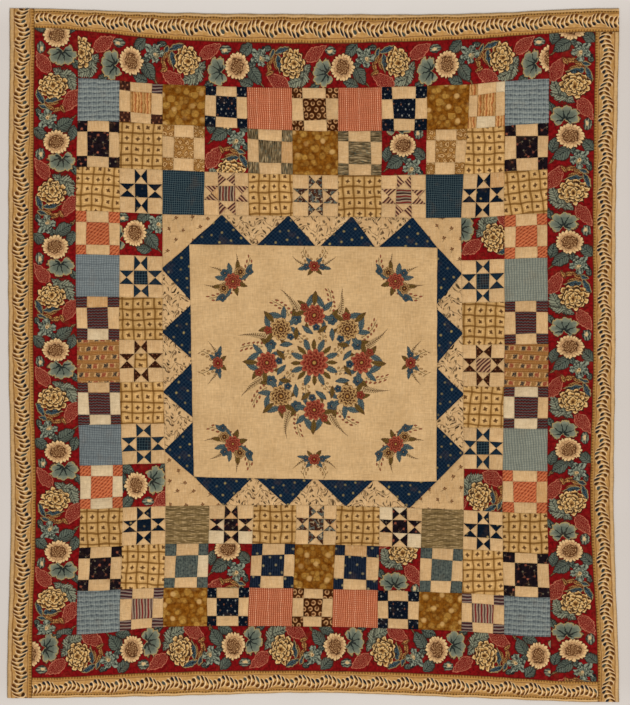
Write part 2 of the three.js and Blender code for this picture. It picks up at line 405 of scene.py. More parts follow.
chintzLooks = {
    "toothed": leafLook("leafPale", "leafDark", "leafDark", rimWidth=1.6, rib=9.0, teeth=3.0),
    "smooth": leafLook("leaf", "leafDark", "leafDark", rimWidth=1.6, rib=8.0),
    "stalk": leafLook("rim", "bloomShade", "leafDark", rimWidth=0.8, rib=5.0),
    "dotted": leafLook("madder", "madderDot", "madderDot", rimWidth=1.6, lean=-0.35, dots=1.12),
    "ember": leafLook("ember", "bloomShade", "madder", rimWidth=1.4, rib=7.0, lean=0.2),
    "madder": leafLook("madder", "redDeep", "bloomShade", rimWidth=1.0, rib=7.0, teeth=2.5),
    "curl": leafLook("slate", "leafDark", "rim", rimWidth=2.0, rib=7.0, lean=0.5),
}
chintzRepeat = 330.0
# look, middle across and down, half length, half width, degrees
chintzLeaves = [
    ("stalk", 122, 256, 18, 3.5, -40),
    ("stalk", 84, 26, 14, 3.5, 60),
    ("smooth", 97, 275, 33, 21, -31),
    ("smooth", 121, 303, 26, 16, 106),
    ("smooth", 21, 304, 28, 18, 43),
    ("smooth", 129, 88, 18, 11, 70),
    ("smooth", 64, 287, 16, 10, 75),
    ("madder", 97, 108, 22, 11, 15),
    ("toothed", 77, 113, 22, 14, -150),
    ("toothed", 107, 124, 29, 19, 12),
    ("toothed", 116, 149, 28, 19, 68),
    ("dotted", 27, 84, 41, 20, 55),
    ("dotted", 114, 203, 43, 21, -60),
    ("ember", 73, 230, 20, 8, -12),
    ("ember", 48, 222, 19, 8, 24),
    ("ember", 60, 209, 21, 8, -6),
    ("curl", 21, 194, 30, 9, 66),
    ("curl", 60, 199, 31, 9, -6),
    ("curl", 31, 221, 18, 7, 20),
    ("ember", 90, 228, 15, 7, 60),
    ("smooth", 14, 237, 16, 9, 80),
]


def chintzLeaf(colour, across, down, long, wide, degrees, look):
    a, b = turned(across, down, degrees)
    q = a * (1 / long)
    aside = sizeOf(b)
    swell = scaled(q * q, -1.0, 1.0)
    width = swell * scaled(q, -wide * look["lean"], wide)
    if look["teeth"]:
        bite = fractOf(scaled(q, look["teeth"], aside * -0.03))
        width = width * scaled(bite, 0.42, 0.72)
    side = highest(aside - width, scaled(sizeOf(a), 1.0, -long))
    if not look["dots"]:
        colour = paint(colour, below(side, 2.2, 1.6) * 0.75, chintzDye["bloomShade"])
    colour = paint(colour, below(side, 0, 1.1), look["rim"])
    if look["dots"]:
        dots = sinOf(a * look["dots"]) * sinOf(b * look["dots"])
        inside = paint(look["body"], ramp(dots, 0.22, 0.72) * 0.85, look["dark"])
        return paint(colour, below(side, -look["rimWidth"], 0.8), inside)
    ribs = ramp(wave(scaled(aside, -0.8, a), look["rib"]), 0.45, 0.9)
    inside = paint(look["body"], ramp(b, -1.0, wide * 0.9) * 0.5, look["dark"])
    inside = paint(inside, ribs * 0.7, look["dark"])
    colour = paint(colour, below(side, -look["rimWidth"], 0.9), inside)
    return paint(colour, line(b, 2.2, 0.7) * below(side, -2, 1), look["dark"])


def ruffledBloom(colour, across, down):
    ink = chintzDye
    # layers of scalloped petals, each shading the one under it: radius, petals, turn, shift of its middle
    layers = [
        (45, 5.5, 0.3, 0, 0),
        (35, 4.5, 1.1, 2, -2),
        (25, 3.5, 0.2, 3, -4),
        (15, 2.5, 0.9, 2, -4),
    ]
    unevenness = scaled(cloudOf(across, down, 17, 1, 2.0), 9.0, -4.5)
    for radius, petals, turn, shiftAcross, shiftDown in layers:
        a = across - shiftAcross
        b = scaled(down, 1.14, -1.14 * shiftDown)
        reach = reachOf(a, b) + unevenness
        ruffle = sizeOf(sinOf(scaled(angleOf(b, a), petals, scaled(reach, 0.025, turn))))
        past = reach - scaled(ruffle, radius * 0.13 + 2, radius * 0.87 - 2)
        colour = paint(colour, below(past, 3.6, 1.6), ink["bloomShade"])
        petal = paint(ink["goldShade"], ramp(past, -9.5, -3.5), ink["gold"])
        petal = paint(petal, ramp(past, -5.0, -0.5) * 0.8, ink["goldPale"])
        petal = paint(petal, below(ruffle, 0.3, 0.18) * 0.75, ink["bloomShade"])
        colour = paint(colour, below(past, -0.2, 0.9), petal)
    return paint(colour, dotAt(across - 2, down + 5, 4.5, 1.6) * 0.8, ink["bloomShade"])


def seededBloom(colour, across, down):
    ink = chintzDye
    b = down * 1.15
    uneven = scaled(cloudOf(across, down, 16, 1, 5.0), 5.0, -2.5)
    reach = reachOf(across, b)
    angle = angleOf(b, across)
    notch = sizeOf(sinOf(scaled(angle, 10.5, uneven * 0.3)))
    past = scaled(notch, -4.6, reach - 37) + uneven
    colour = paint(colour, below(past, 2.6, 1.3), ink["bloomShade"])
    petal = paint(ink["bloom"], ramp(reach, 29, 38), ink["bloomPale"])
    inPetal = below(past, 0, 0.9)
    colour = paint(colour, inPetal, petal)
    crease = below(notch, 0.34, 0.16) * ramp(reach, 27, 35) * inPetal
    colour = paint(colour, crease * 0.7, ink["goldShade"])
    ruff = reach - scaled(sizeOf(sinOf(scaled(angle, 9, 0.6))), 3.5, 26)
    colour = paint(colour, line(ruff, 2.6, 1.2) * 0.55, ink["heart"])
    seeds = sinOf(scaled(reach, 0.72, angle * -2)) * sinOf(scaled(angle, 7, reach * 0.3))
    heart = paint(ink["heart"], ramp(seeds, 0.1, 0.5), ink["heartSeed"])
    heart = paint(heart, ramp(reach, 20, 24) * 0.65, ink["bloomShade"])
    return paint(colour, below(reach + uneven, 24.5, 1.6), heart)


def lobedLeaf(colour, across, down):
    ink = chintzDye
    b = down * 1.32
    reach = reachOf(across, b) + scaled(cloudOf(across, down, 14, 1, 1.0), 7.0, -3.5)
    angle = angleOf(b, across)
    lobes = sizeOf(cosOf(scaled(angle, 3.5, 0.25)))
    notch = ramp(cosOf(scaled(angle, 1.0, math.pi / 2)), 0.88, 1.0)
    past = scaled(lobes, -7.0, scaled(notch, 26.0, reach - 38))
    colour = paint(colour, below(past, 2.4, 1.4) * 0.9, ink["leafDark"])
    colour = paint(colour, below(past, -0.2, 0.9), ink["rim"])
    blade = paint(ink["leafPale"], ramp(past, -3, -20), ink["leaf"])
    inside = below(past, -3.8, 1.0)
    colour = paint(colour, inside, blade)
    stem = down + 12
    fromStem = reachOf(across, stem)
    fan = sizeOf(sinOf(scaled(angleOf(stem, across), 4.5, 0.3))) * fromStem
    veins = below(fan - scaled(fromStem, -0.22, 13.0), 0, 3.4) * below(past, -6, 4) * inside
    return paint(colour, veins * 0.95, ink["leafDark"])


def manyPetalled(colour, across, down):
    # ragged petals in two layers, streaked from the eye
    ink = chintzDye
    reach = reachOf(across, down) + scaled(cloudOf(across, down, 13, 1, 7.0), 11.0, -5.5)
    angle = angleOf(down, across)
    for radius, petals, turn in ((31, 2.5, 0.5), (18, 3.5, 1.2)):
        past = scaled(sizeOf(cosOf(scaled(angle, petals, turn))), -radius * 0.36, reach - radius * 0.62)
        colour = paint(colour, below(past, 2.6, 1.4), ink["leafDark"])
        streak = ramp(sinOf(scaled(angle, 11.0, scaled(reach, 0.1, turn))), -0.1, 0.7)
        petal = paint(ink["petal"], ramp(past, -4, -radius * 0.5), ink["leaf"])
        petal = paint(petal, streak * 0.7, ink["leafDark"])
        colour = paint(colour, below(past, -0.4, 0.9), petal)
    colour = paint(colour, below(reachOf(across - 6, down + 8), 7, 4) * 0.55, ink["rim"])
    eye = reachOf(across - 2, down + 3)
    colour = paint(colour, below(eye, 5, 1.5), ink["bloomPale"])
    return paint(colour, below(eye, 2.6, 1), ink["goldShade"])


def bud(colour, across, down):
    ink = chintzDye
    reach = reachOf(across * 1.3, down)
    colour = paint(colour, below(reach, 19, 1.4), ink["leafDark"])
    streaked = paint(ink["leafPale"], wave(across, 8.5), ink["leafDark"])
    colour = paint(colour, below(reach, 16.5, 1.8), streaked)
    return paint(colour, below(reachOf((across - 2) * 1.9, down - 2), 8, 2.6) * 0.9, ink["bloomPale"])


def chintz(across, down):
    # the hand-cut block's uneven edges
    across, down = drifted(across, down, 9, 1.9, 15.0)
    blotch = cloudOf(across, down, 10, 2, 11.0)
    colour = paint(chintzDye["red"], blotch, chintzDye["redDeep"])

    def place(middleAcross, middleDown):
        return across - middleAcross, wrapped(down, middleDown, chintzRepeat)

    for look, middleAcross, middleDown, long, wide, degrees in chintzLeaves:
        a, b = place(middleAcross, middleDown)
        colour = chintzLeaf(colour, a, b, long, wide, degrees, chintzLooks[look])
    colour = manyPetalled(colour, *place(42, 259))
    colour = bud(colour, *place(21, 37))
    colour = lobedLeaf(colour, *place(88, 60))
    colour = ruffledBloom(colour, *place(59, 157))
    return seededBloom(colour, *place(71, 0))


# Striped border: across is in from the outer edge, down runs along it
stripeInksAndShade = {
    "ground": dye(193, 148, 92),
    "pale": dye(236, 200, 152),
    "gold": dye(168, 120, 56),
    "dark": dye(62, 34, 16),
    "umber": dye(104, 56, 22),
    "brown": dye(84, 46, 10),
    "navy": dye(30, 30, 34),
    "slate": dye(92, 96, 80),
    "plum": dye(58, 34, 14),
    "margin": dye(200, 160, 108),
    # painted shade on the rolled outer edge of the border
    "hem": dye(112, 88, 54),
}
stripePlan = {
    "pitch": 13.8,
    "sway": 8.0,
    "swayLength": 82.8,
    "stem": 40.0,
    "leafMiddle": 9.6,
    "leafLong": 9.2,
    "leafWide": 4.5,
    "leafPhase": 0.0,
    "rise": 0.62,
    "curve": 0.006,
    "tick": 9.2,
}


def stripeCloth(across, down, ticked=False):
    ink, plan = stripeInksAndShade, stripePlan
    colour = paint(ink["ground"], cloudOf(across, down, 12, 2, 2.0) * 0.8, ink["gold"])
    swayed = sinOf(down * (2 * math.pi / plan["swayLength"])) * plan["sway"]
    fromStem = across - plan["stem"] - swayed
    out = sizeOf(fromStem)
    lifted = scaled(out, plan["rise"], down) - out * out * plan["curve"]
    steps = scaled(lifted, 1 / plan["pitch"], plan["leafPhase"])
    a = scaled(fractOf(steps), plan["pitch"], -plan["pitch"] / 2)
    q = scaled(out, 1 / plan["leafLong"], -plan["leafMiddle"] / plan["leafLong"])
    swell = rootOf(highest(scaled(q * q, -1.0, 1.0), 0.0))
    width = swell * scaled(q, plan["leafWide"] * 0.3, plan["leafWide"])
    reach = plan["leafMiddle"] + plan["leafLong"]
    ends = below(out, reach, 0.6)
    glint = below(sizeOf(a - 2.6) - width, 1.8, 1.2) * below(out, reach + 1.5, 1.0)
    colour = paint(colour, glint * 0.9, ink["pale"])
    chance = sinOf(scaled(floorOf(steps), 2.3, ramp(fromStem, -1.0, 1.0) * 4))
    inner = paint(ink["plum"], ramp(chance, -0.4, 0.0), ink["navy"])
    inner = paint(inner, ramp(chance, 0.75, 0.95) * 0.4, ink["slate"])
    leafInk = paint(ink["brown"], ramp(chance, 0.0, 0.9) * 0.5, ink["umber"])
    leafInk = paint(leafInk, ramp(fromStem, -1.0, 3.0), inner)
    leafInk = paint(leafInk, below(out, 3.0, 2.6) * 0.45, ink["gold"])
    leaf = below(sizeOf(a) - width, 0, 1.1) * ends
    colour = paint(colour, leaf, leafInk)
    waver = scaled(cloudOf(down, across * 0.2, 40, 1, 3.0), 4.0, -2.0)
    outerLine = 19.0 if ticked else 15.5
    colour = paint(colour, line(across - outerLine + waver, 3.6, 1.0) * 0.62, ink["umber"])
    colour = paint(colour, line(across - 66.0, 3.0, 0.9) * 0.66, ink["umber"])
    colour = paint(colour, ramp(across, 68.5, 70.0) * 0.75, ink["gold"])
    tick = ramp(wave(down, plan["tick"]), 0.45, 0.75)
    colour = paint(colour, line(across - 75.0, 7.0, 0.8) * tick * 0.75, ink["umber"])
    colour = paint(colour, ramp(across, 76.0, 79.4) * 0.8, ink["dark"])
    if ticked:
        colour = paint(colour, below(across, 17.0, 0.8) * 0.8, ink["gold"])
        colour = paint(colour, line(across - 12.0, 6.0, 0.8) * scaled(tick, 0.5, 0.3), ink["dark"])
        colour = paint(colour, below(across, 8.6, 0.7), ink["margin"])
    else:
        colour = paint(colour, below(across, 12.5, 1.4), ink["margin"])
    # painted shade: the outer edge darkened where the cloth rolls over at the hem
    return paint(colour, below(across, 3.4, 1.6) * 0.62, ink["hem"])


def stripeAlong(across, down):
    return stripeCloth(across, down)


def stripeTicked(across, down):
    return stripeCloth(across, down, ticked=True)


# Prints of the small patches
def checked(colour, across, down, repeat, width, soft, strengths, ink):
    for along, strength in zip((across, down), strengths):
        colour = paint(colour, stripesOn(along, 0, repeat, width, soft) * strength, ink)
    return colour


def gingham(across, down):
    ragged = scaled(cloudOf(across * 0.4, down, 6, 1, 2.0), 5.0, down)
    colour = paint(dye(134, 140, 134), ramp(wave(across, 7.6), 0.3, 0.9) * 0.5, dye(86, 92, 92))
    bars = ramp(wave(ragged, 15.0), 0.4, 0.9) * scaled(wave(across, 15.2), 0.4, 0.3)
    colour = paint(colour, bars, dye(58, 64, 70))
    colour = paint(colour, stripesOn(down, 0, 7.5, 1.8, 1.0) * 0.3, dye(66, 74, 78))
    return paint(colour, ramp(wave(ragged, 15.0, 2.4), 0.75, 1.0) * 0.35, dye(158, 160, 146))


def blueCheck(across, down):
    colour = checked(dye(122, 128, 126), across, down, 7.6, 2.4, 1.0, (0.6, 0.55), dye(70, 78, 82))
    return paint(colour, stripesOn(down, 20, 47, 3.2, 1.0) * 0.35, dye(60, 66, 72))


def greenStripe(across, down):
    colour = paint(dye(140, 140, 122), ramp(wave(across, 8.4), 0.3, 0.7) * 0.6, dye(92, 98, 92))
    return paint(colour, stripesOn(down, 0, 7.4, 1.8, 0.7) * 0.4, dye(86, 92, 88))


def darkCheck(across, down):
    return checked(dye(14, 30, 40), across, down, 7.0, 2.0, 0.9, (0.4, 0.42), dye(88, 104, 104))


def starCheck(across, down):
    return checked(dye(12, 24, 34), across, down, 8.6, 2.2, 1.0, (0.34, 0.34), dye(78, 96, 98))


def goldRounds(across, down):
    colour = paint(dye(88, 40, 0), cloudOf(across, down, 14, 2), dye(148, 92, 24))
    # pitch, radius, strength and seed of each size of round
    for pitch, radius, strength, seed in ((37, 12.5, 0.55, 1.0), (44, 9, 0.65, 5.0), (29, 7, 0.45, 3.0)):
        a, b, chance = scattered(across, down, pitch, pitch * 0.72, seed, pitch * 0.42)
        size = scaled(chance, radius * 0.5, radius * 0.6)
        disc = below(reachOf(a, b) - size, 0, 2.4)
        colour = paint(colour, disc * strength * chance, dye(192, 144, 66))
        rim = line(reachOf(a, b) - size, 2.4, 1.4)
        colour = paint(colour, rim * 0.4, dye(78, 36, 2))
    a, b, chance = scattered(across, down, 58, 40, 8.0, 18)
    return paint(colour, dotAt(a, b, 7.6, 2.6) * ramp(chance, 0.2, 0.5) * 0.85, dye(202, 158, 96))


def pinkRows(across, down):
    colour = paint(dye(184, 100, 64), wave(across, 6.6) * 0.75, dye(132, 58, 30))
    beads = wave(down, 6.2) * ramp(wave(across, 6.6, math.pi), 0.45, 0.9)
    strength = scaled(ramp(wave(across, 46.2, 2.0) * wave(across, 19.8), 0.3, 0.7), 0.6, 0.5)
    return paint(colour, beads * strength, dye(232, 172, 136))


def navyDots(across, down):
    colour = paint(dye(4, 10, 20), cloudOf(across, down, 9, 1) * 0.5, dye(18, 26, 40))
    a, b, chance = scattered(across, down, 24, 17, 3.0, 4)
    ink = paint(dye(180, 174, 156), ramp(chance, 0.6, 0.7), dye(130, 84, 58))
    colour = paint(colour, dotAt(a * 1.3, b, 2.9, 1.2) * scaled(chance, 0.5, 0.35), ink)
    a, b, chance = scattered(across + 9, down + 5, 15, 11, 6.0, 5)
    return paint(colour, dotAt(a, b, 1.3, 0.8) * chance * 0.6, dye(120, 122, 122))


def creamDots(across, down):
    colour = paint(dye(8, 16, 30), cloudOf(across, down, 8, 1) * 0.6, dye(30, 40, 56))
    colour = paint(colour, stripesOn(across, 0, 7.4, 1.8, 0.8) * 0.2, dye(70, 80, 90))
    a, b, chance = scattered(across, down, 38, 26, 2.0, 4)
    return paint(colour, dotAt(a, b, 3.6, 1.8) * scaled(chance, 0.4, 0.4), dye(170, 152, 106))


def brownRings(across, down):
    colour = paint(dye(44, 14, 0), cloudOf(across, down, 8, 1) * 0.7, dye(82, 40, 12))
    a, b, chance = scattered(across, down, 21, 19, 4.0, 3)
    reach = reachOf(a * 1.1, b)
    opened = ramp(sinOf(scaled(chance, 40.0, angleOf(b, a))), -1.0, -0.5)
    colour = paint(colour, line(reach - 5.9, 3.4, 1.2) * scaled(opened, 0.7, 0.1), dye(206, 154, 102))
    return paint(colour, below(reach, 2.4, 0.9) * 0.5, dye(140, 84, 44))


def brownTiny(across, down):
    a, b = lattice(across, down, 14, 11)
    colour = paint(dye(44, 18, 8), cloudOf(across, down, 8, 1) * 0.5, dye(74, 38, 20))
    return paint(colour, dotAt(a, b, 2.0, 0.9) * 0.6, dye(150, 100, 66))


def blackSprays(across, down):
    colour = paint(dye(12, 6, 8), cloudOf(across, down, 12, 2) * 0.6, dye(40, 28, 34))
    a, b, chance = scattered(across, down, 34, 25, 7.0, 8)
    a, b = turnedBy(a, b, chance * 6.3)
    stalk = line(scaled(sinOf(a * 0.4), 3.5, b), 1.8, 0.9) * below(sizeOf(a), 10, 2)
    colour = paint(colour, stalk * 0.5, dye(128, 92, 64))
    colour = paint(colour, dotAt(a - 6, b + 4, 3.4, 1.6) * scaled(chance, 0.7, 0.1), dye(168, 92, 66))
    return paint(colour, dotAt(a + 9, b - 6, 2.4, 1.2) * 0.5, dye(140, 126, 96))


def flowerPlaid(across, down):
    across, down = drifted(across, down, 70, 2.6, 21.0)
    pitch = 33.8
    a, b = wrapped(across, 17, pitch), wrapped(down, 17, pitch)
    alongCell, downCell = sizeOf(a), sizeOf(b)
    edge = highest(alongCell, downCell)
    pale = paint(dye(228, 184, 122), cloudOf(across, down, 20, 2, 4.0) * 0.8, dye(202, 156, 92))
    colour = paint(pale, ramp(edge, 7.0, 15.0) * 0.6, dye(156, 110, 48))
    colour = paint(colour, ramp(alongCell, 13.2, 14.6) * 0.75, dye(112, 72, 24))
    colour = paint(colour, ramp(downCell, 13.2, 14.6) * 0.75, dye(104, 64, 20))
    colour = paint(colour, line(alongCell - 9.5, 1.8, 1.0) * 0.3, dye(138, 94, 40))
    colour = paint(colour, line(downCell - 9.5, 1.8, 1.0) * 0.3, dye(138, 94, 40))
    column, row = floorOf(across * (1 / pitch)), floorOf(down * (1 / pitch))
    turn = sinOf(scaled(column, 3.1, row * 5.3)) * 1.6
    petals = scaled(sizeOf(cosOf(scaled(angleOf(b, a), 2.0, turn))), 3.0, 3.3)
    reach = reachOf(a + turn, b)
    colour = paint(colour, below(reach - petals, 2.2, 1.8) * 0.4, dye(140, 92, 44))
    return paint(colour, below(reach - petals, 0, 1.5) * 0.9, dye(66, 34, 12))


def tanScroll(across, down):
    across, down = drifted(across, down, 17, 4.0, 8.0)
    colour = paint(dye(184, 138, 78), cloudOf(across, down, 10, 2), dye(142, 92, 36))
    a, b = lattice(across, down, 21, 17)
    reach = reachOf(a, b)
    colour = paint(colour, line(reach - 7.2, 2.4, 1.0) * 0.75, dye(96, 54, 16))
    colour = paint(colour, line(reach - 4.4, 2.0, 0.9) * 0.6, dye(222, 184, 132))
    colour = paint(colour, below(reach, 2.2, 1.0) * 0.75, dye(92, 50, 14))
    a, b = lattice(across + 10.5, down, 21, 8.5)
    colour = paint(colour, dotAt(a, b, 2.3, 1.1) * ramp(reach, 8, 9) * 0.7, dye(98, 56, 18))
    bent = scaled(cloudOf(across, down, 8, 1, 3.0), 20.0, across)
    return paint(colour, stripesOn(bent, 0, 12, 1.7, 0.9) * ramp(reach, 7.5, 9.5) * 0.5, dye(100, 58, 20))


def streaks(across, down, length, width, seed):
    return cloudOf(across * (1 / length), down * (1 / width), 1.0, 1, seed)


def greyFlame(across, down):
    colour = paint(dye(128, 106, 74), ramp(streaks(down, across, 34, 3.2, 1.0), 0.2, 0.8), dye(58, 46, 26))
    colour = paint(colour, ramp(streaks(down, across, 28, 4.0, 5.0), 0.62, 0.9) * 0.75, dye(186, 160, 118))
    return paint(colour, ramp(streaks(down, across, 12, 12, 8.0), 0.6, 0.9) * 0.5, dye(78, 88, 76))


def oliveFlame(across, down):
    colour = paint(dye(140, 114, 72), ramp(wave(down, 17.0), 0.3, 0.9) * 0.6, dye(84, 64, 34))
    colour = paint(colour, ramp(streaks(across, down, 34, 3.2, 2.0), 0.3, 0.9) * 0.7, dye(82, 64, 38))
    colour = paint(colour, ramp(streaks(across, down, 26, 3.4, 6.0), 0.62, 0.88) * 0.75, dye(196, 164, 118))
    return paint(colour, stripesOn(across, 0, 9.0, 2.0, 1.0) * 0.2, dye(70, 56, 30))


def orangeWaves(across, down):
    bent = scaled(cloudOf(across * 2, down * 0.6, 9, 1, 4.0), 5.0, across)
    colour = paint(dye(206, 154, 94), ramp(wave(bent, 9.6), 0.35, 0.8) * 0.85, dye(140, 84, 34))
    colour = paint(colour, ramp(wave(bent, 19.2, 1.4), 0.7, 1.0) * 0.6, dye(172, 88, 46))
    return paint(colour, ramp(wave(bent, 38.4, 0.4), 0.8, 1.0) * 0.4, dye(118, 86, 42))


def darkFigures(across, down):
    colour = paint(dye(30, 14, 14), cloudOf(across, down, 7, 1), dye(78, 42, 28))
    a, b, chance = scattered(across, down, 15, 14, 3.0, 4)
    return paint(colour, dotAt(a * 1.3, b, 3.0, 1.4) * scaled(chance, 0.7, 0.2), dye(178, 118, 78))


def mourningStripe(across, down):
    colour = paint(dye(40, 26, 32), ramp(wave(down, 10.4), 0.45, 0.8) * 0.8, dye(146, 124, 108))
    return paint(colour, ramp(wave(down, 10.4, 2.4), 0.75, 1.0) * 0.5, dye(108, 50, 42))


def redStripe(across, down):
    colour = paint(dye(158, 132, 108), stripesOn(across, 0, 9.2, 4.8, 0.9) * 0.9, dye(62, 34, 34))
    return paint(colour, stripesOn(across, 0, 18.4, 4.8, 0.9) * 0.85, dye(122, 30, 28))


def purpleStripe(across, down):
    colour = paint(dye(192, 152, 110), stripesOn(across, 0, 9.4, 5.4, 0.9), dye(76, 40, 34))
    return paint(colour, stripesOn(across, 3.2, 18.8, 2.2, 0.8) * 0.6, dye(120, 52, 38))


def purpleMiddle(across, down):
    colour = paint(dye(164, 138, 108), stripesOn(across, 0, 9.4, 5.4, 0.9), dye(54, 30, 28))
    colour = paint(colour, stripesOn(across, 0, 18.8, 4.0, 0.9) * 0.9, dye(124, 40, 30))
    return paint(colour, stripesOn(across, 4.7, 18.8, 2.2, 0.9) * 0.6, dye(92, 92, 84))


def redBlue(across, down):
    colour = paint(dye(40, 20, 14), cloudOf(across, down, 8, 1) * 0.7, dye(92, 52, 34))
    colour = paint(colour, ramp(cloudOf(across, down, 13, 2, 6.0), 0.5, 0.62) * 0.85, dye(92, 96, 86))
    return paint(colour, ramp(cloudOf(across, down, 9, 1, 9.0), 0.7, 0.8) * 0.8, dye(180, 154, 116))


def orangeTwill(across, down):
    slanted = scaled(cloudOf(across, down, 12, 1, 3.0), 3.0, (across + down) * 0.707)
    colour = paint(dye(192, 102, 62), ramp(wave(slanted, 8.6), 0.35, 0.85) * 0.85, dye(128, 50, 26))
    breaks = ramp(wave(scaled(slanted, 0.6, (down - across) * 0.707), 13.0), 0.72, 0.95)
    return paint(colour, breaks * 0.45, dye(204, 122, 80))


def purpleZigzag(across, down):
    zigzag = scaled(sizeOf(wrapped(across, 0, 11)), 0.5, down)
    colour = paint(dye(24, 16, 20), ramp(wave(zigzag, 9.0), 0.5, 0.85) * 0.62, dye(108, 92, 86))
    colour = paint(colour, ramp(wave(zigzag, 9.0, 2.6), 0.8, 0.97) * 0.75, dye(124, 42, 30))
    return paint(colour, stripesOn(across, 0, 9.6, 2.0, 1.0) * 0.25, dye(30, 22, 26))


def squareRows(across, down):
    rowPitch, pitch = 27.8, 17.9
    fromRow = wrapped(down, 14, rowPitch)
    row = floorOf(down * (1 / rowPitch))
    shifted = scaled(fractOf(row * 0.5), 53.6, across)
    colour = paint(dye(150, 96, 44), ramp(wave(down, 5.6), 0.4, 0.9) * 0.45, dye(196, 148, 92))
    colour = paint(colour, line(fromRow, 15.6, 1.2), dye(198, 152, 98))
    colour = paint(colour, line(sizeOf(fromRow) - 8.6, 2.4, 1.0) * 0.55, dye(104, 60, 26))
    betweenRows = ramp(wave(across, 6.0), 0.6, 0.9) * ramp(sizeOf(fromRow), 8, 9)
    colour = paint(colour, betweenRows * 0.25, dye(112, 66, 28))
    step = wrapped(shifted, 0, pitch)
    kind = fractOf(scaled(floorOf(scaled(shifted, 1 / pitch, 0.5)), 1 / 3, 0.01))
    ragged = scaled(cloudOf(across, down, 5, 1, 2.0), 3.8, -1.9)
    square = below(highest(sizeOf(scaled(fromRow, 0.18, step)), sizeOf(fromRow)) + ragged, 6.6, 1.1)
    ink = paint(dye(30, 34, 38), ramp(kind, 0.3, 0.35), dye(150, 62, 40))
    ink = paint(ink, ramp(kind, 0.6, 0.65), dye(142, 98, 50))
    ink = paint(ink, ramp(cloudOf(across, down, 4, 1, 7.0), 0.5, 0.85) * 0.5, dye(172, 126, 80))
    return paint(colour, square * 0.95, ink)


def tealPlain(across, down):
    colour = paint(dye(88, 94, 84), ramp(cloudOf(across, down, 8, 2), 0.2, 0.9), dye(44, 50, 50))
    return paint(colour, stripesOn(across, 0, 7.4, 1.8, 0.9) * 0.3, dye(110, 112, 98))


def cottonCloth(across, down, light, deep):
    colour = paint(light, cloudOf(across, down, 60, 1) * 0.5, deep)
    colour = paint(colour, ramp(streaks(across, down, 26, 3.0, 4.0), 0.45, 0.95) * 0.3, deep)
    return paint(colour, ramp(streaks(down, across, 30, 3.4, 9.0), 0.5, 0.95) * 0.28, dye(232, 200, 156))


def creamCotton(across, down):
    return cottonCloth(across, down, dye(209, 170, 120), dye(188, 145, 96))


def whiteCotton(across, down):
    return cottonCloth(across, down, dye(212, 188, 150), dye(194, 162, 118))


def honeyCotton(across, down):
    return cottonCloth(across, down, dye(198, 152, 100), dye(180, 132, 80))


def vinePrint(across, down):
    colour = creamCotton(across, down)
    across, down = drifted(across, down, 26, 5.0, 3.0)
    winding = scaled(sinOf(across * 0.11), 10.0, down)
    run = wrapped(winding, 0, 44)
    colour = paint(colour, line(run, 2.0, 0.9) * 0.75, dye(62, 38, 18))
    a, b, chance = scattered(across, winding, 24, 21, 5.0, 6)
    p, q = turnedBy(a, b, chance * 6.3)
    colour = paint(colour, dotAt(p, q * 1.7, 5.4, 1.3) * scaled(chance, 0.3, 0.7), dye(40, 28, 14))
    colour = paint(colour, dotAt(p - 7, q + 6, 2.6, 1.0) * 0.75, dye(50, 32, 18))
    a, b = lattice(across + 12, winding + 11, 48, 44)
    curl = line(reachOf(a, b) - 9, 1.9, 0.9) * below(b, 4, 2)
    colour = paint(colour, curl * 0.8, dye(66, 40, 20))
    return paint(colour, dotAt(a - 8, b - 3, 3.4, 1.2) * 0.8, dye(66, 36, 20))


def sprigPrint(across, down):
    colour = paint(creamCotton(across, down), cloudOf(across, down, 90, 1, 2.0) * 0.35, dye(186, 144, 90))
    a, b, chance = scattered(across, down, 52, 36, 2.0, 12)
    a, b = turnedBy(a, b, scaled(chance, 2.4, -1.2))
    petals = scaled(sizeOf(cosOf(scaled(angleOf(b, a), 2.5, chance * 3))), 3.8, 2.6)
    colour = paint(colour, below(reachOf(a, b + 2) - petals, 0, 1.1) * 0.9, dye(88, 44, 22))
    stalk = line(scaled(b * b, 0.03, a), 1.8, 0.8) * below(sizeOf(b - 6), 6, 1)
    colour = paint(colour, stalk * 0.8, dye(80, 54, 26))
    return paint(colour, dotAt(a, b + 2, 1.4, 0.8) * 0.7, dye(176, 126, 70))


def dottedNavy(across, down):
    a, b = (across + down) * 0.707, (across - down) * 0.707
    colour = paint(dye(3, 19, 38), cloudOf(across, down, 7, 2) * 0.7, dye(16, 38, 58))
    colour = checked(colour, a, b, 9.2, 1.8, 1.0, (0.2, 0.2), dye(66, 84, 92))
    p, q, chance = scattered(a, b, 38, 29, 4.0, 8)
    return paint(colour, dotAt(p, q, 3.2, 2.0) * scaled(chance, 0.55, 0.25), dye(186, 160, 92))


def navyPlain(across, down):
    colour = paint(dye(5, 14, 24), cloudOf(across, down, 7, 2) * 0.7, dye(20, 32, 46))
    a, b, chance = scattered(across, down, 27, 22, 6.0, 8)
    return paint(colour, dotAt(a, b, 3.2, 1.6) * ramp(chance, 0.5, 0.8) * 0.8, dye(180, 150, 92))


def navySolid(across, down):
    return paint(dye(14, 28, 40), cloudOf(across, down, 7, 2) * 0.8, dye(36, 52, 62))


# Centre square: three drawings on one ground, a wreath of flowers, corner bunches and side sprigs;
# across and down are from its middle
panelDye = {
    "ground": dye(211, 173, 123),
    "groundDeep": dye(192, 154, 105),
    "groundPale": dye(220, 184, 136),
    "red": dye(106, 26, 20),
    "redPale": dye(172, 88, 62),
    "blue": dye(30, 46, 58),
    "bluePale": dye(88, 100, 94),
    "brown": dye(74, 40, 20),
    "olive": dye(108, 84, 38),
    "oliveDark": dye(66, 52, 24),
    "gold": dye(168, 122, 62),
    "goldPale": dye(204, 160, 100),
}
panelPlan = {
    "wreath": 150.0,
    "sectors": 8,
    "bunch": 258.0,
    "sprig": 306.0,
    "cornerStart": 165.0,
    "sideStart": 262.0,
}
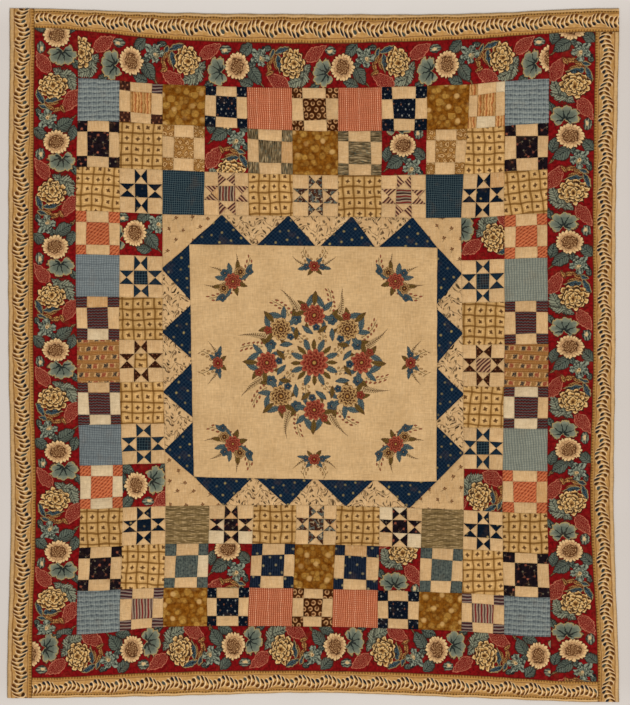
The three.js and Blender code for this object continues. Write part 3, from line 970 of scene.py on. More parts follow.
# colours of petals and leaves: deep, pale, outline
panelLooks = {
    "red": ("red", "redPale", "brown"),
    "gold": ("brown", "goldPale", "brown"),
    "blue": ("blue", "bluePale", "blue"),
    "leafBlue": ("blue", "bluePale", "blue"),
    "leafOlive": ("oliveDark", "olive", "brown"),
}


def panelLook(look):
    return [panelDye[name] for name in panelLooks[look]]


def panelLeaf(colour, across, down, long, wide, degrees, look):
    deep, pale, outline = panelLook(look)
    a, b = turned(across, down, degrees)
    q = a * (1 / long)
    aside = sizeOf(b)
    bite = fractOf(scaled(q, long / 9, aside * -0.04))
    width = scaled(q * q, -wide, wide) * scaled(bite, 0.3, 0.8)
    side = highest(aside - width, scaled(sizeOf(a), 1.0, -long))
    colour = paint(colour, below(side, 0.7, 0.9), outline)
    ribs = ramp(wave(scaled(aside, -0.9, a), 6.4), 0.35, 0.85)
    inside = paint(pale, ribs * 0.75, deep)
    colour = paint(colour, below(side, -0.9, 0.9), inside)
    return paint(colour, line(b, 1.5, 0.6) * below(side, -1, 1), outline)


def panelLeaves(colour, out, aside, plump, leaves):
    # each leaf: its place outwards and aside, length, tilt and look
    for place, side, long, tilt, look in leaves:
        colour = panelLeaf(colour, out - place, aside - side, long, long * plump, tilt, look)
    return colour


def panelBloom(colour, across, down, radius, petals, inks, layers=3):
    # petals in layers, each streaked from its base and pale at its edge
    deep, pale, outline = inks
    angle = angleOf(down, across)
    reach = reachOf(across, down)
    for k in range(layers):
        size = radius * (1 - 0.3 * k)
        ruffle = sizeOf(sinOf(scaled(angle, petals / 2, radius + 0.9 * k)))
        past = scaled(ruffle, -0.24 * size, reach - size * 0.78)
        colour = paint(colour, below(past, 1.4, 0.9), outline)
        petal = paint(deep, ramp(past, -size * 0.3, -size * 0.06), pale)
        streak = ramp(sinOf(scaled(angle, petals * 2.0, k)), 0.1, 0.7) * below(past, -size * 0.08, 2)
        petal = paint(petal, streak * 0.6, deep)
        colour = paint(colour, below(past, -0.5, 0.8), petal)
    colour = paint(colour, below(reach, radius * 0.2, 1.0), outline)
    return paint(colour, below(reach, radius * 0.12, 0.9), panelDye["gold"])


def berrySpray(colour, across, down, long, look="red"):
    # an arching stalk along across, with berries on both sides
    pale, outline = panelLook(look)[1:]
    bent = scaled(across * across, 0.5 / long, down)
    inSpan = below(sizeOf(across - long / 2), long / 2, 0.8)
    colour = paint(colour, line(bent, 1.8, 0.7) * inSpan, panelDye["oliveDark"])
    step = wrapped(across, 6, 13)
    away = sizeOf(bent)
    stalks = line(scaled(away, -0.5, step + 3), 1.6, 0.7) * below(away, 9, 1) * inSpan
    colour = paint(colour, stalks * 0.9, panelDye["olive"])
    berry = reachOf(step - 2, away - 10)
    colour = paint(colour, below(berry, 3.9, 0.9) * inSpan, outline)
    return paint(colour, below(berry, 2.2, 1.1) * inSpan * 0.8, pale)


def frond(colour, across, down, long, wide):
    # a feathered leaf along across, tapering to its tip
    bent = scaled(across * across, 0.3 / long, down)
    away = sizeOf(bent)
    reach = scaled(across, -wide / long, wide)
    inSpan = below(sizeOf(across - long / 2), long / 2, 1.0) * below(away - reach, 0, 1.2)
    blades = ramp(wave(scaled(away, -0.9, across), 6.2), 0.35, 0.7)
    colour = paint(colour, blades * inSpan * 0.9, panelDye["oliveDark"])
    return paint(colour, line(bent, 1.7, 0.7) * inSpan, panelDye["brown"])


def panelGround(across, down):
    ink = panelDye
    colour = paint(ink["ground"], cloudOf(across, down, 120, 3), ink["groundDeep"])
    colour = paint(colour, ramp(streaks(across, down, 90, 5.0, 4.0), 0.45, 0.95) * 0.26, ink["groundDeep"])
    colour = paint(colour, ramp(streaks(down, across, 90, 5.0, 9.0), 0.45, 0.95) * 0.26, ink["groundDeep"])
    colour = paint(colour, ramp(streaks(across, down, 60, 4.0, 14.0), 0.5, 0.95) * 0.28, ink["groundPale"])
    return paint(colour, ramp(streaks(down, across, 60, 4.0, 19.0), 0.5, 0.95) * 0.28, ink["groundPale"])


def wreathPanel(across, down):
    plan = panelPlan
    colour = panelGround(across, down)
    reach = reachOf(across, down)
    angle = angleOf(down, across)
    sector = 2 * math.pi / plan["sectors"]
    # between the flowers: fronds and berries pointing outwards, leaves and florets round them
    between = wrapped(angle, sector / 2, sector)
    outBetween, asideBetween = reach * cosOf(between), reach * sinOf(between)
    out, aside = outBetween, asideBetween
    colour = frond(colour, out - 172, aside - 14, 84, 13)
    colour = berrySpray(colour, out - 168, aside + 16, 66)
    colour = berrySpray(colour, out - 70, aside + 3, 44, "gold")
    colour = panelLeaves(colour, out, aside, 0.36, [
        (180, -30, 24, 24, "leafBlue"),
        (184, 38, 22, -34, "leafOlive"),
        (160, 0, 26, 8, "leafOlive"),
        (118, -16, 20, 150, "leafBlue"),
        (112, 20, 18, -160, "leafOlive"),
    ])
    colour = panelBloom(colour, out - 148, aside, 16, 6, panelLook("blue"), 2)
    # flowers of the wreath, red and gold in turn
    along = wrapped(angle, 0, sector)
    out, aside = reach * cosOf(along), reach * sinOf(along)
    colour = panelLeaves(colour, out, aside, 0.36, [
        (196, -14, 26, 30, "leafBlue"),
        (194, 18, 26, -34, "leafBlue"),
        (204, 2, 24, 4, "leafOlive"),
        (104, -22, 22, 130, "leafBlue"),
        (106, 26, 20, -128, "leafOlive"),
        (140, 46, 24, -80, "leafBlue"),
        (156, -46, 22, 78, "leafOlive"),
    ])
    turn = floorOf(scaled(angle, 1 / sector, 0.5))
    other = ramp(fractOf(scaled(turn, 0.5, 0.1)), 0.3, 0.4)
    inks = [paint(red, other, gold) for red, gold in zip(panelLook("red"), panelLook("gold"))]
    colour = panelBloom(colour, out - plan["wreath"], aside, 34, 10, inks)
    colour = panelBloom(colour, out - 176, aside + 32, 13, 5, panelLook("red"), 2)
    colour = panelBloom(colour, out - 112, aside - 6, 11, 5, panelLook("blue"), 1)
    # the heart of the wreath
    colour = panelLeaf(colour, outBetween - 58, asideBetween, 22, 9, 0, "leafBlue")
    colour = panelLeaf(colour, out - 56, aside, 18, 7, 0, "leafOlive")
    colour = panelBloom(colour, across, down, 44, 11, panelLook("red"), 4)
    return colour


def cornerPanel(across, down):
    # a bunch in each corner, alike on both sides of its diagonal
    colour = panelGround(across, down)
    start = panelPlan["bunch"]
    a, b = turned(sizeOf(across) - start, sizeOf(down) - start, 45)
    side = sizeOf(b)
    colour = frond(colour, a - 24, b, 62, 12)
    p, q = turned(a - 6, side - 20, 62)
    colour = frond(colour, p, q, 70, 11)
    p, q = turned(a + 12, side - 12, 98)
    colour = berrySpray(colour, p, q, 76)
    colour = panelLeaves(colour, a, side, 0.38, [
        (34, 20, 20, 34, "leafBlue"),
        (-26, 12, 20, 150, "leafOlive"),
        (-14, 34, 20, 112, "leafBlue"),
        (24, 46, 18, 50, "leafOlive"),
        (-6, 66, 17, 86, "leafBlue"),
    ])
    colour = panelBloom(colour, a - 4, side - 36, 17, 7, panelLook("gold"), 2)
    colour = panelBloom(colour, a + 14, side - 60, 11, 5, panelLook("blue"), 2)
    colour = panelBloom(colour, a - 36, b, 13, 5, panelLook("blue"), 2)
    colour = panelBloom(colour, a, b, 26, 9, panelLook("red"))
    return colour


def sidePanel(across, down):
    # a sprig at the middle of each side
    colour = panelGround(across, down)
    fromMiddle, fromCentre = sizeOf(across), sizeOf(down)
    a = highest(fromMiddle, fromCentre) - panelPlan["sprig"]
    side = lowest(fromMiddle, fromCentre)
    p, q = turned(a + 4, side - 10, 76)
    colour = frond(colour, p, q, 66, 10)
    p, q = turned(a - 10, side - 8, 60)
    colour = berrySpray(colour, p, q, 46, "gold")
    colour = panelLeaves(colour, a, side, 0.38, [
        (14, 14, 17, 40, "leafBlue"),
        (-16, 12, 16, 140, "leafOlive"),
        (-6, 38, 15, 100, "leafBlue"),
    ])
    colour = panelBloom(colour, a + 2, side - 26, 10, 5, panelLook("blue"), 2)
    return panelBloom(colour, a, side, 18, 7, panelLook("red"), 2)


def panelPrintAt(across, down):
    # which drawing a place of the square belongs to
    near, far = sorted((abs(across), abs(down)))
    if near > panelPlan["cornerStart"]:
        return "cornerPanel"
    return "sidePanel" if far > panelPlan["sideStart"] else "wreathPanel"


# Finishing every cotton: threads, fading, painted shade in the ditches at the seams and a few marks of age
finishPlan = {
    "drift": 1.5,
    "driftSize": 38.0,
    "thread": 1.4,
    "slub": 0.30,
    "mottle": 0.12,
    "fade": 0.10,
    "tone": 0.07,
    # painted shade along the seams: a narrow dark line on each seam and a soft wider darkening beside it
    "paintedSeamShade": 0.16,
    "paintedSeamShadeWidth": 1.2,
    "paintedHollowShade": 0.07,
    "paintedHollowShadeWidth": 7.0,
    "worn": 0.06,
    "wornFromSeam": 5.0,
    "age": 0.07,
    "bumpDistance": 0.0007,
    "bumpStrength": 0.6,
    "rough": 0.97,
    "gloss": 0.04,
}
ageDye = dye(150, 108, 62)
materials = {}


def finishCloth(drawing):
    material = bpy.data.materials.new(drawing.__name__)
    material.use_nodes = True
    tree = material.node_tree
    tree.nodes.clear()
    start = Reading(tree)
    plan = finishPlan
    uv = start.node("ShaderNodeUVMap", {"uv_map": "cloth"}, {})
    across, down = bothOf(uv)
    across, down = across * (1 / mm), down * (-1 / mm)
    seam = start.node("ShaderNodeAttribute", {"attribute_name": "seam"}, {}, "Fac")
    tone = start.node("ShaderNodeAttribute", {"attribute_name": "tone"}, {}, "Fac")
    colour = drawing(*drifted(across, down, plan["driftSize"], plan["drift"], 30.0))
    # the threads, thick and thin
    warp = cloudOf(across * 1.7, down * 0.34, 8, 1, 3.0)
    weft = cloudOf(across * 0.34, down * 1.7, 8, 1, 6.0)
    slub = (warp + weft) * 0.5
    mottle = cloudOf(across, down, 11, 3, 14.0)
    fade = cloudOf(across, down, 70, 2, 9.0)
    # painted shade: the cloth darkened within a few mm of every seam, and more on the seam itself
    paintedHollowShade = below(seam, 0, plan["paintedHollowShadeWidth"]) * 2
    paintedSeamShade = below(seam, plan["paintedSeamShadeWidth"], 1.2)
    worn = below(sizeOf(seam - plan["wornFromSeam"]), 1.6, 1.4) * cloudOf(across, down, 6, 1, 4.0)
    light = scaled(slub, plan["slub"], 1.0 - plan["slub"] / 2)
    light = light + scaled(mottle, plan["mottle"], -plan["mottle"] / 2)
    light = light + scaled(fade, plan["fade"], -plan["fade"] / 2)
    light = light + tone * plan["tone"]
    # the painted shade at the seams darkens the colour here
    light = light - paintedHollowShade * plan["paintedHollowShade"]
    light = light - paintedSeamShade * plan["paintedSeamShade"] + worn * plan["worn"]
    colour = shade(colour, light)
    aged = ramp(cloudOf(across, down, 46, 3, 12.0), 0.62, 0.95) * plan["age"]
    colour = paint(colour, aged, ageDye)
    # threads in relief
    threads = wave(across, plan["thread"]) + wave(down, plan["thread"])
    relieved = scaled(slub, 1.2, threads * 0.3)
    height = scaled(mottle, 1.4, relieved)
    inputs = {"Height": height, "Strength": plan["bumpStrength"], "Distance": plan["bumpDistance"]}
    bump = start.node("ShaderNodeBump", {}, inputs)
    rough = scaled(slub, -0.07, plan["rough"])
    inputs = {"Base Color": colour, "Roughness": rough, "Specular IOR Level": plan["gloss"], "Normal": bump}
    shader = start.node("ShaderNodeBsdfPrincipled", {}, inputs)
    start.node("ShaderNodeOutputMaterial", {}, {"Surface": shader})
    materials[drawing.__name__] = material


printedCottons = [
    chintz, stripeAlong, stripeTicked, wreathPanel, cornerPanel, sidePanel, gingham, blueCheck,
    greenStripe, darkCheck, starCheck, goldRounds, pinkRows, navyDots, creamDots, brownRings, brownTiny,
    blackSprays, flowerPlaid, tanScroll, greyFlame, oliveFlame, orangeWaves, darkFigures, mourningStripe,
    redStripe, purpleStripe, purpleMiddle, redBlue, orangeTwill, purpleZigzag, squareRows, tealPlain,
    creamCotton, whiteCotton, honeyCotton, vinePrint, sprigPrint, dottedNavy, navyPlain, navySolid,
]
for drawing in printedCottons:
    finishCloth(drawing)
print("printed cottons:", len(printedCottons))

# Cloth pieces
clothPlan = {
    "stepsPerBlock": 24,
    "stripeSteps": 14,
    "panelSteps": 112,
    "ringSteps": 24,
    "printTurn": 1.6,
    "tone": 1.0,
    "patchShift": 4.0,
    "farFromHem": 1000.0,
    "hemSeam": 60.0,
    "touching": 1e-6,
    "merge": 1e-5,
    "patchPrintShift": 200.0,
    "ringPrintShift": 90.0,
    "ringTone": 0.6,
    "otherCotton": 0.35,
}
luck = random.Random(12)


def layCloth(name, cutSize, prints, bm):
    # closes a sheet with its flat underside and hands it over as the cloth of the solid of that name;
    # a width or length that is left open comes from the cloth's own area, but the cut size is not used
    top = list(bm.faces)
    cutArea = sum(face.calc_area() for face in top)
    wide, long = cutSize
    cutSize = (wide or cutArea / long, long or cutArea / wide)
    rim = [edge for edge in bm.edges if edge.is_boundary]
    for edge in rim:
        edge.smooth = False
    underside = bmesh.ops.extrude_face_region(bm, geom=top, use_keep_orig=True)
    for part in underside["geom"]:
        if isinstance(part, bmesh.types.BMVert):
            part.co.z = 0.0
    for face in bm.faces:
        face.smooth = True
    bmesh.ops.recalc_face_normals(bm, faces=list(bm.faces))
    mesh = bpy.data.meshes.new(name + "_cloth")
    bm.to_mesh(mesh)
    bm.free()
    for printName in prints:
        mesh.materials.append(materials[printName])
    piece = bpy.data.objects.new(name + "_cloth", mesh)
    bpy.context.scene.collection.objects.link(piece)
    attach(piece, "root")
    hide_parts(name)
    return piece


def clothGrid(columns, rows):
    # a grid of cells from 0 to 1 both ways, the second one counted downwards
    bm = bmesh.new()
    bmesh.ops.create_grid(bm, x_segments=columns, y_segments=rows, size=0.5)
    bmesh.ops.translate(bm, vec=(0.5, 0.5, 0), verts=bm.verts)
    return bm


def addLayers(bm):
    uv = bm.loops.layers.uv.new("cloth")
    return uv, bm.verts.layers.float.new("seam"), bm.faces.layers.float.new("tone")


def placeVert(vert, seam, point, fromSeam, fromHem=clothPlan["farFromHem"]):
    vert[seam] = fromSeam
    vert.co = (point.x * mm, point.y * mm, heightAt(point, fromSeam, fromHem) * mm)


def stretchBetween(share, lines, moved):
    # carries a share from its true lines to their moved places, evenly between them
    for k in range(len(lines) - 1):
        if share <= lines[k + 1] or k == len(lines) - 2:
            part = (share - lines[k]) / (lines[k + 1] - lines[k])
            return moved[k] + (moved[k + 1] - moved[k]) * part


# Pieced blocks: rows from the top, each print by its place from the left
blockRowsPlan = [
    "gingham nineWaves goldRounds nineNavy pinkRows nineRings"
    " pinkRows nineNavy goldRounds ninePale gingham",
    "nineBlack flowerPlaid nineScroll chintz nineGrey goldRounds"
    " nineGrey chintz nineScroll flowerPlaid nineBlack",
    "flowerPlaid starNavy darkCheck starPurple flowerPlaid starRedBlue"
    " flowerPlaid starPurple darkCheck starNavy flowerPlaid",
    "nineTwill chintz - - - - - - - chintz nineTwill",
    "blueCheck starTeal - - - - - - - starTeal greenStripe",
    "nineZigzag flowerPlaid - - - - - - - flowerPlaid nineZigzag",
    "squareRows starBrown - - - - - - - starStriped squareRows",
    "nineZigzag flowerPlaid - - - - - - - flowerPlaid nineZigzag",
    "blueCheck starTeal - - - - - - - starTeal greenStripe",
    "nineTwill chintz - - - - - - - chintz nineTwill",
    "flowerPlaid starNavy oliveFlame starBlack flowerPlaid starRedBlue"
    " flowerPlaid starBlack oliveFlame starNavy flowerPlaid",
    "nineBlack flowerPlaid nineTeal chintz nineCream goldRounds"
    " nineCream chintz nineTeal flowerPlaid nineBlack",
    "gingham nineStripe goldRounds nineNavy pinkRows nineRings"
    " pinkRows nineNavy goldRounds nineStripe gingham",
]
# uneven nine-patches: middle, corners, top right corner
ninePatches = {
    "nineWaves": ("orangeWaves", "darkFigures", "mourningStripe"),
    "ninePale": ("orangeWaves", "orangeWaves", "creamCotton"),
    "nineStripe": ("redStripe", "mourningStripe", "mourningStripe"),
}
plainNines = {
    "nineNavy": "navyDots",
    "nineRings": "brownRings",
    "nineBlack": "blackSprays",
    "nineScroll": "tanScroll",
    "nineGrey": "greyFlame",
    "nineTwill": "orangeTwill",
    "nineZigzag": "purpleZigzag",
    "nineTeal": "tealPlain",
    "nineCream": "creamDots",
}
for blockName, printName in plainNines.items():
    ninePatches[blockName] = (printName, printName, printName)
# stars: points, middle
starPatches = {
    "starNavy": ("navyPlain", "navyPlain"),
    "starPurple": ("purpleStripe", "purpleMiddle"),
    "starRedBlue": ("redBlue", "redBlue"),
    "starTeal": ("navySolid", "starCheck"),
    "starBrown": ("brownTiny", "flowerPlaid"),
    "starStriped": ("brownTiny", "purpleStripe"),
    "starBlack": ("blackSprays", "blackSprays"),
}
# flowered patches: column and row, then degrees of turn and the print's place at the middle
flowerPlaces = {
    (4, 2): (180, 75, 226),
    (8, 2): (180, 67, 306),
    (2, 4): (90, 75, 310),
    (10, 4): (-90, 57, 121),
    (2, 10): (-90, 71, 24),
    (10, 10): (-90, 79, 169),
    (4, 12): (180, 65, 276),
    (8, 12): (180, 71, 103),
}
# whole turns of a block's prints, by column and row
blockTurns = {
    (1, 3): 4,
    (11, 3): -3,
    (8, 3): 90,
    (8, 11): 90,
    (3, 2): 4,
    (7, 2): 90,
    (10, 2): -2,
    (11, 4): 8,
}
# a pale patch is one of these, by chance; some blocks have a few whiter ones, and some mostly white
paleCottons = ["creamCotton"] * 8 + ["honeyCotton"]
mixedCottons = ["whiteCotton"] * 4 + ["creamCotton"] * 3 + ["honeyCotton"]
mixedPlaces = [(4, 11), (8, 11), (3, 12), (9, 12), (11, 1), (1, 4), (11, 10), (10, 1)]
whitePlaces = [(1, 6), (1, 8), (11, 8), (1, 10)]
nineLines = [0.0, 0.25, 0.75, 1.0]
starLines = [0.0, 1 / 3, 2 / 3, 1.0]


def linesOf(blockName):
    if blockName in ninePatches:
        return nineLines
    return starLines if blockName in starPatches else [0.0, 1.0]


def cellOf(share, lines):
    return max(k for k in range(len(lines) - 1) if share >= lines[k] - clothPlan["touching"])


def patchOf(blockName, p, q):
    # print and place of the patch at a point of a block
    lines = linesOf(blockName)
    i, j = cellOf(p, lines), cellOf(q, lines)
    if len(lines) == 2:
        return blockName, (0, 0, 0)
    if blockName in ninePatches:
        middle, corner, topRight = ninePatches[blockName]
        if i == 1 and j == 1:
            return middle, (i, j, 0)
        if i == 2 and j == 0:
            return topRight, (i, j, 0)
        return (corner if i != 1 and j != 1 else "creamCotton"), (i, j, 0)
    points, middle = starPatches[blockName]
    if i == 1 and j == 1:
        return middle, (i, j, 0)
    if i != 1 and j != 1:
        return "creamCotton", (i, j, 0)
    u, v = 3 * p - i - 0.5, 3 * q - j - 0.5
    inward, sideways = (v * (1 - j), u) if i == 1 else (u * (1 - i), v)
    if abs(sideways) > abs(inward):
        return points, (i, j, 1 if sideways > 0 else 2)
    return "creamCotton", (i, j, 3 if inward > 0 else 4)


def fromSeamsOf(blockName, p, q):
    # distance in mm to the nearest seam of the block
    size = quiltPlan["block"]
    lines = linesOf(blockName)
    near = [abs(p - at) for at in lines] + [abs(q - at) for at in lines]
    if blockName in starPatches:
        i, j = cellOf(p, lines), cellOf(q, lines)
        if (i == 1) != (j == 1):
            u, v = 3 * p - i - 0.5, 3 * q - j - 0.5
            near += [abs(u - v) / (3 * math.sqrt(2)), abs(u + v) / (3 * math.sqrt(2))]
    return size * min(near)


class BlockShape:
    # how far the inner seams of one block stray, and the chance choices of its patches
    def __init__(self, blockName, column, row):
        self.name = blockName
        self.place = (column - 1, row - 1)
        self.lines = linesOf(blockName)
        isWhite = self.place in whitePlaces
        self.cottons = mixedCottons if isWhite or self.place in mixedPlaces else paleCottons
        self.baseCotton = "whiteCotton" if isWhite else "creamCotton"
        shift = clothPlan["patchShift"] / quiltPlan["block"]
        inner = len(self.lines) - 2
        self.strays = []
        for _ in range(2):
            ends = [(luck.uniform(-shift, shift), luck.uniform(-shift, shift)) for _ in range(inner)]
            self.strays.append(ends)
        self.patches = {}

    def moved(self, p, q):
        found = []
        for share, other, strays in ((p, q, self.strays[0]), (q, p, self.strays[1])):
            inner = zip(self.lines[1:-1], strays)
            places = [at + start + (end - start) * other for at, (start, end) in inner]
            found.append(stretchBetween(share, self.lines, [0.0, *places, 1.0]))
        return found

    def patch(self, printName, key):
        # its print, the turn of the print, the print's place at the block's middle, and its tone
        if key not in self.patches:
            turn = luck.gauss(0, clothPlan["printTurn"]) + blockTurns.get(self.place, 0)
            shift = clothPlan["patchPrintShift"]
            offset = (luck.uniform(-shift, shift), luck.uniform(-shift, shift))
            if printName == "creamCotton" and luck.random() < clothPlan["otherCotton"]:
                printName = luck.choice(self.cottons)
            elif printName == "creamCotton":
                printName = self.baseCotton
            if printName == "chintz":
                turn, *middle = flowerPlaces[self.place]
                offset = (middle[0], -middle[1])
            if printName == "purpleStripe":
                turn += 45 if key[0] == 1 else -45
            toneValue = luck.uniform(-1, 1) * clothPlan["tone"]
            self.patches[key] = (printName, math.radians(turn), offset, toneValue)
        return self.patches[key]


blockShapes = {}
for rowNumber, row in enumerate(blockRowsPlan):
    for columnNumber, blockName in enumerate(row.split()):
        place = (columnNumber + 2, rowNumber + 2)
        blockShapes[place] = BlockShape(blockName, *place)


middles = {place: onQuilt(place[0] + 0.5, place[1] + 0.5) for place in blockShapes}


def addBlocks(name, across, down):
    steps = clothPlan["stepsPerBlock"]
    wide, high = across[1] - across[0], down[1] - down[0]
    bm = clothGrid(wide * steps, high * steps)
    for vert in bm.verts:
        vert.co = (across[0] + vert.co.x * wide, down[0] + vert.co.y * high, 0)
    # stars: the side units are cut corner to corner
    for (column, row), shape in blockShapes.items():
        inStrip = across[0] <= column < across[1] and down[0] <= row < down[1]
        if not inStrip or shape.name not in starPatches:
            continue
        for i, j in ((1, 0), (0, 1), (2, 1), (1, 2)):
            middle = Vector((column + (i + 0.5) / 3, row + (j + 0.5) / 3, 0))
            for normal in (Vector((1, 1, 0)), Vector((1, -1, 0))):
                unit = [f for f in bm.faces if max(map(abs, f.calc_center_median() - middle)) < 1 / 6]
                edges = list({e for f in unit for e in f.edges})
                verts = list({v for f in unit for v in f.verts})
                plane = {"plane_co": middle, "plane_no": normal, "dist": clothPlan["merge"]}
                bmesh.ops.bisect_plane(bm, geom=unit + edges + verts, **plane)
    uv, seam, tone = addLayers(bm)
    prints = []
    spots = {}
    for face in bm.faces:
        centre = face.calc_center_median()
        column, row = int(centre.x), int(centre.y)
        shape = blockShapes[column, row]
        found = patchOf(shape.name, centre.x - column, centre.y - row)
        printName, turn, offset, toneValue = shape.patch(*found)
        if printName not in prints:
            prints.append(printName)
        face.material_index = prints.index(printName)
        face[tone] = toneValue
        spots[face] = (middles[column, row], turn, offset)
    for vert in bm.verts:
        a, d = vert.co.x, vert.co.y
        column = min(int(a + clothPlan["touching"]), across[1] - 1)
        row = min(int(d + clothPlan["touching"]), down[1] - 1)
        shape = blockShapes[column, row]
        p, q = a - column, d - row
        fromSeam = fromSeamsOf(shape.name, p, q)
        p, q = shape.moved(p, q)
        point = wobbled(onQuilt(column + p, row + q))
        placeVert(vert, seam, point, fromSeam)
    for face in bm.faces:
        middle, turn, offset = spots[face]
        c, s = math.cos(turn), math.sin(turn)
        for loop in face.loops:
            x, y = loop.vert.co.x / mm - middle.x, loop.vert.co.y / mm - middle.y
            loop[uv].uv = ((x * c - y * s + offset[0]) * mm, (x * s + y * c + offset[1]) * mm)
    size = quiltPlan["block"] * mm
    cutSize = (wide * size, None) if wide > high else (None, high * size)
    return layCloth(name, cutSize, prints, bm)


medallionAcross = (quiltPlan["medallionLeft"], quiltPlan["medallionRight"])
medallionDown = (quiltPlan["medallionTop"], quiltPlan["medallionBottom"])
for rowNumber in range(quiltPlan["rows"]):
    if not medallionDown[0] <= rowNumber + 2 < medallionDown[1]:
        addBlocks("blocks_row_%02d" % (rowNumber + 1), (2, 13), (rowNumber + 2, rowNumber + 3))
for name, first in (("left_outer", 2), ("left_inner", 3), ("right_inner", 11), ("right_outer", 12)):
    addBlocks("blocks_" + name, (first, first + 1), medallionDown)
print("pieced blocks laid")

# Flowered strips and striped border: name, print, seams across and down, side of the quilt
# the print runs round the quilt against the clock: down the left, right along the bottom, up the right
surroundPlan = [
    ("stripe_left", "stripeAlong", (0, 1), (0, 17), "left"),
    ("stripe_top", "stripeTicked", (1, 15), (0, 1), "top"),
    ("stripe_right", "stripeAlong", (14, 15), (1, 17), "right"),
    ("stripe_bottom", "stripeTicked", (1, 14), (16, 17), "bottom"),
    ("chintz_left", "chintz", (1, 2), (1, 15), "left"),
    ("chintz_top", "chintz", (2, 13), (1, 2), "top"),
    ("chintz_right", "chintz", (13, 14), (1, 16), "right"),
    ("chintz_bottom", "chintz", (1, 13), (15, 16), "bottom"),
]
# where a seeded flower lies on each side, in mm along the print's run, and how the print is stretched there
chintzStart = {"left": 1015.0, "bottom": -897.5, "right": -935.0, "top": -577.4}
chintzStretch = {
    "left": (0.9663, 2.46e-5),
    "bottom": (1.023, 0.0),
    "right": (1.0529, -2.54e-5),
    "top": (0.977, -1.09e-5),
}
# how far the print lies inwards there, in mm
chintzInset = {"left": 0.0, "bottom": 5.0, "right": -1.0, "top": 3.0}


def alongSide(side, point):
    return {"left": -point.y, "bottom": point.x, "right": point.y, "top": -point.x}[side]


def runOf(side, point):
    # mm along the run of the print
    along = alongSide(side, point)
    start = {"left": -chintzStart["left"], "top": -chintzStart["top"]}.get(side, chintzStart[side])
    times, curve = chintzStretch[side]
    run = along - start
    return run * times + run * run * curve


# the vine of the striped border sways in step with the photographed one: where a sway starts, and how the
# print is stretched there
stripeStart = {"left": -1046.2, "bottom": -867.4, "right": 981.0, "top": 875.0}
stripeStretch = {"left": 1.0147, "bottom": 1.0185, "right": 1.003, "top": 0.9845}


def stripeRunOf(side, point):
    return (alongSide(side, point) - stripeStart[side]) * stripeStretch[side]


# how much paler or darker each border strip is
stripeTone = {"left": -0.5, "bottom": 1.7, "right": -0.3, "top": 0.8}


def widthOf(low, high):
    # mm across a strip between two seam counts
    ends = [count for count in range(low, high) if count in (0, lastLong - 1)]
    return len(ends) * quiltPlan["stripe"] + (high - low - len(ends)) * quiltPlan["block"]


def addSurround(name, printName, across, down, side):
    isStripe = name.startswith("stripe")
    width = quiltPlan["stripe"] if isStripe else quiltPlan["chintz"]
    steps = clothPlan["stepsPerBlock"]
    widthSteps = clothPlan["stripeSteps"] if isStripe else steps
    wide, high = across[1] - across[0], down[1] - down[0]
    upright = side in ("left", "right")
    bm = clothGrid(widthSteps if upright else wide * steps, high * steps if upright else widthSteps)
    uv, seam, tone = addLayers(bm)
    inward = {}
    for vert in bm.verts:
        u, v = vert.co.x, vert.co.y
        share = {"left": u, "right": 1 - u, "top": v, "bottom": 1 - v}[side]
        a, d = across[0] + u * wide, down[0] + v * high
        point = wobbled(onQuilt(a, d))
        ends = [a - across[0], across[1] - a] if not upright else [d - down[0], down[1] - d]
        fromEnds = min(ends) * quiltPlan["block"]
        fromHem = min(a, lastLong - a, d, lastCross - d) * quiltPlan["stripe"]
        sides = [(1 - share) * width] if isStripe else [share * width, (1 - share) * width]
        isHem = isStripe and share < clothPlan["touching"]
        fromSeam = clothPlan["hemSeam"] if isHem else min([fromEnds, *sides])
        inset = 0.0 if isStripe else chintzInset[side]
        run = stripeRunOf(side, point) if isStripe else runOf(side, point)
        inward[vert] = (share * width - inset, run)
        placeVert(vert, seam, point, fromSeam, fromHem)
    for face in bm.faces:
        face[tone] = stripeTone[side] if isStripe else 0.0
        for loop in face.loops:
            x, y = inward[loop.vert]
            loop[uv].uv = (x * mm, -y * mm)
    long = (widthOf(*down) if upright else widthOf(*across)) * mm
    return layCloth(name, (None, long), [printName], bm)


for plan in surroundPlan:
    addSurround(*plan)
print("strips and border laid")

# Medallion: the centre square in its ring of triangles
squareCorners = {
    "topLeft": (0.092, 0.101),
    "topRight": (0.905, 0.1),
    "bottomRight": (0.905, 0.905),
    "bottomLeft": (0.094, 0.902),
}
tipShare = 0.003
# side, its square corners, where the points meet the rim, where each base starts and ends
ringPlan = [
    (
        "top",
        ("topLeft", "topRight"),
        (0.199, 0.413, 0.616, 0.815),
        ((0, 0.251), (0.272, 0.508), (0.529, 0.748), (0.766, 1)),
    ),
    (
        "right",
        ("topRight", "bottomRight"),
        (0.187, 0.39, 0.598, 0.803),
        ((0, 0.243), (0.264, 0.493), (0.514, 0.739), (0.76, 1)),
    ),
    (
        "bottom",
        ("bottomRight", "bottomLeft"),
        (0.813, 0.602, 0.399, 0.19),
        ((0, 0.24), (0.262, 0.49), (0.51, 0.742), (0.762, 1)),
    ),
    (
        "left",
        ("bottomLeft", "topLeft"),
        (0.811, 0.606, 0.401, 0.186),
        ((0, 0.236), (0.256, 0.49), (0.51, 0.74), (0.76, 1)),
    ),
]
rimCorners = {"top": (1, 0), "right": (1, 1), "bottom": (0, 1), "left": (0, 0)}


def medallionPoint(x, y):
    across = medallionAcross[0] + (medallionAcross[1] - medallionAcross[0]) * x
    down = medallionDown[0] + (medallionDown[1] - medallionDown[0]) * y
    return onQuilt(across, down)


def rimShare(side, share):
    return {"top": (share, 0), "right": (1, share), "bottom": (share, 1), "left": (0, share)}[side]


def rimPlace(share):
    return {"share": share, "point": medallionPoint(*share)}


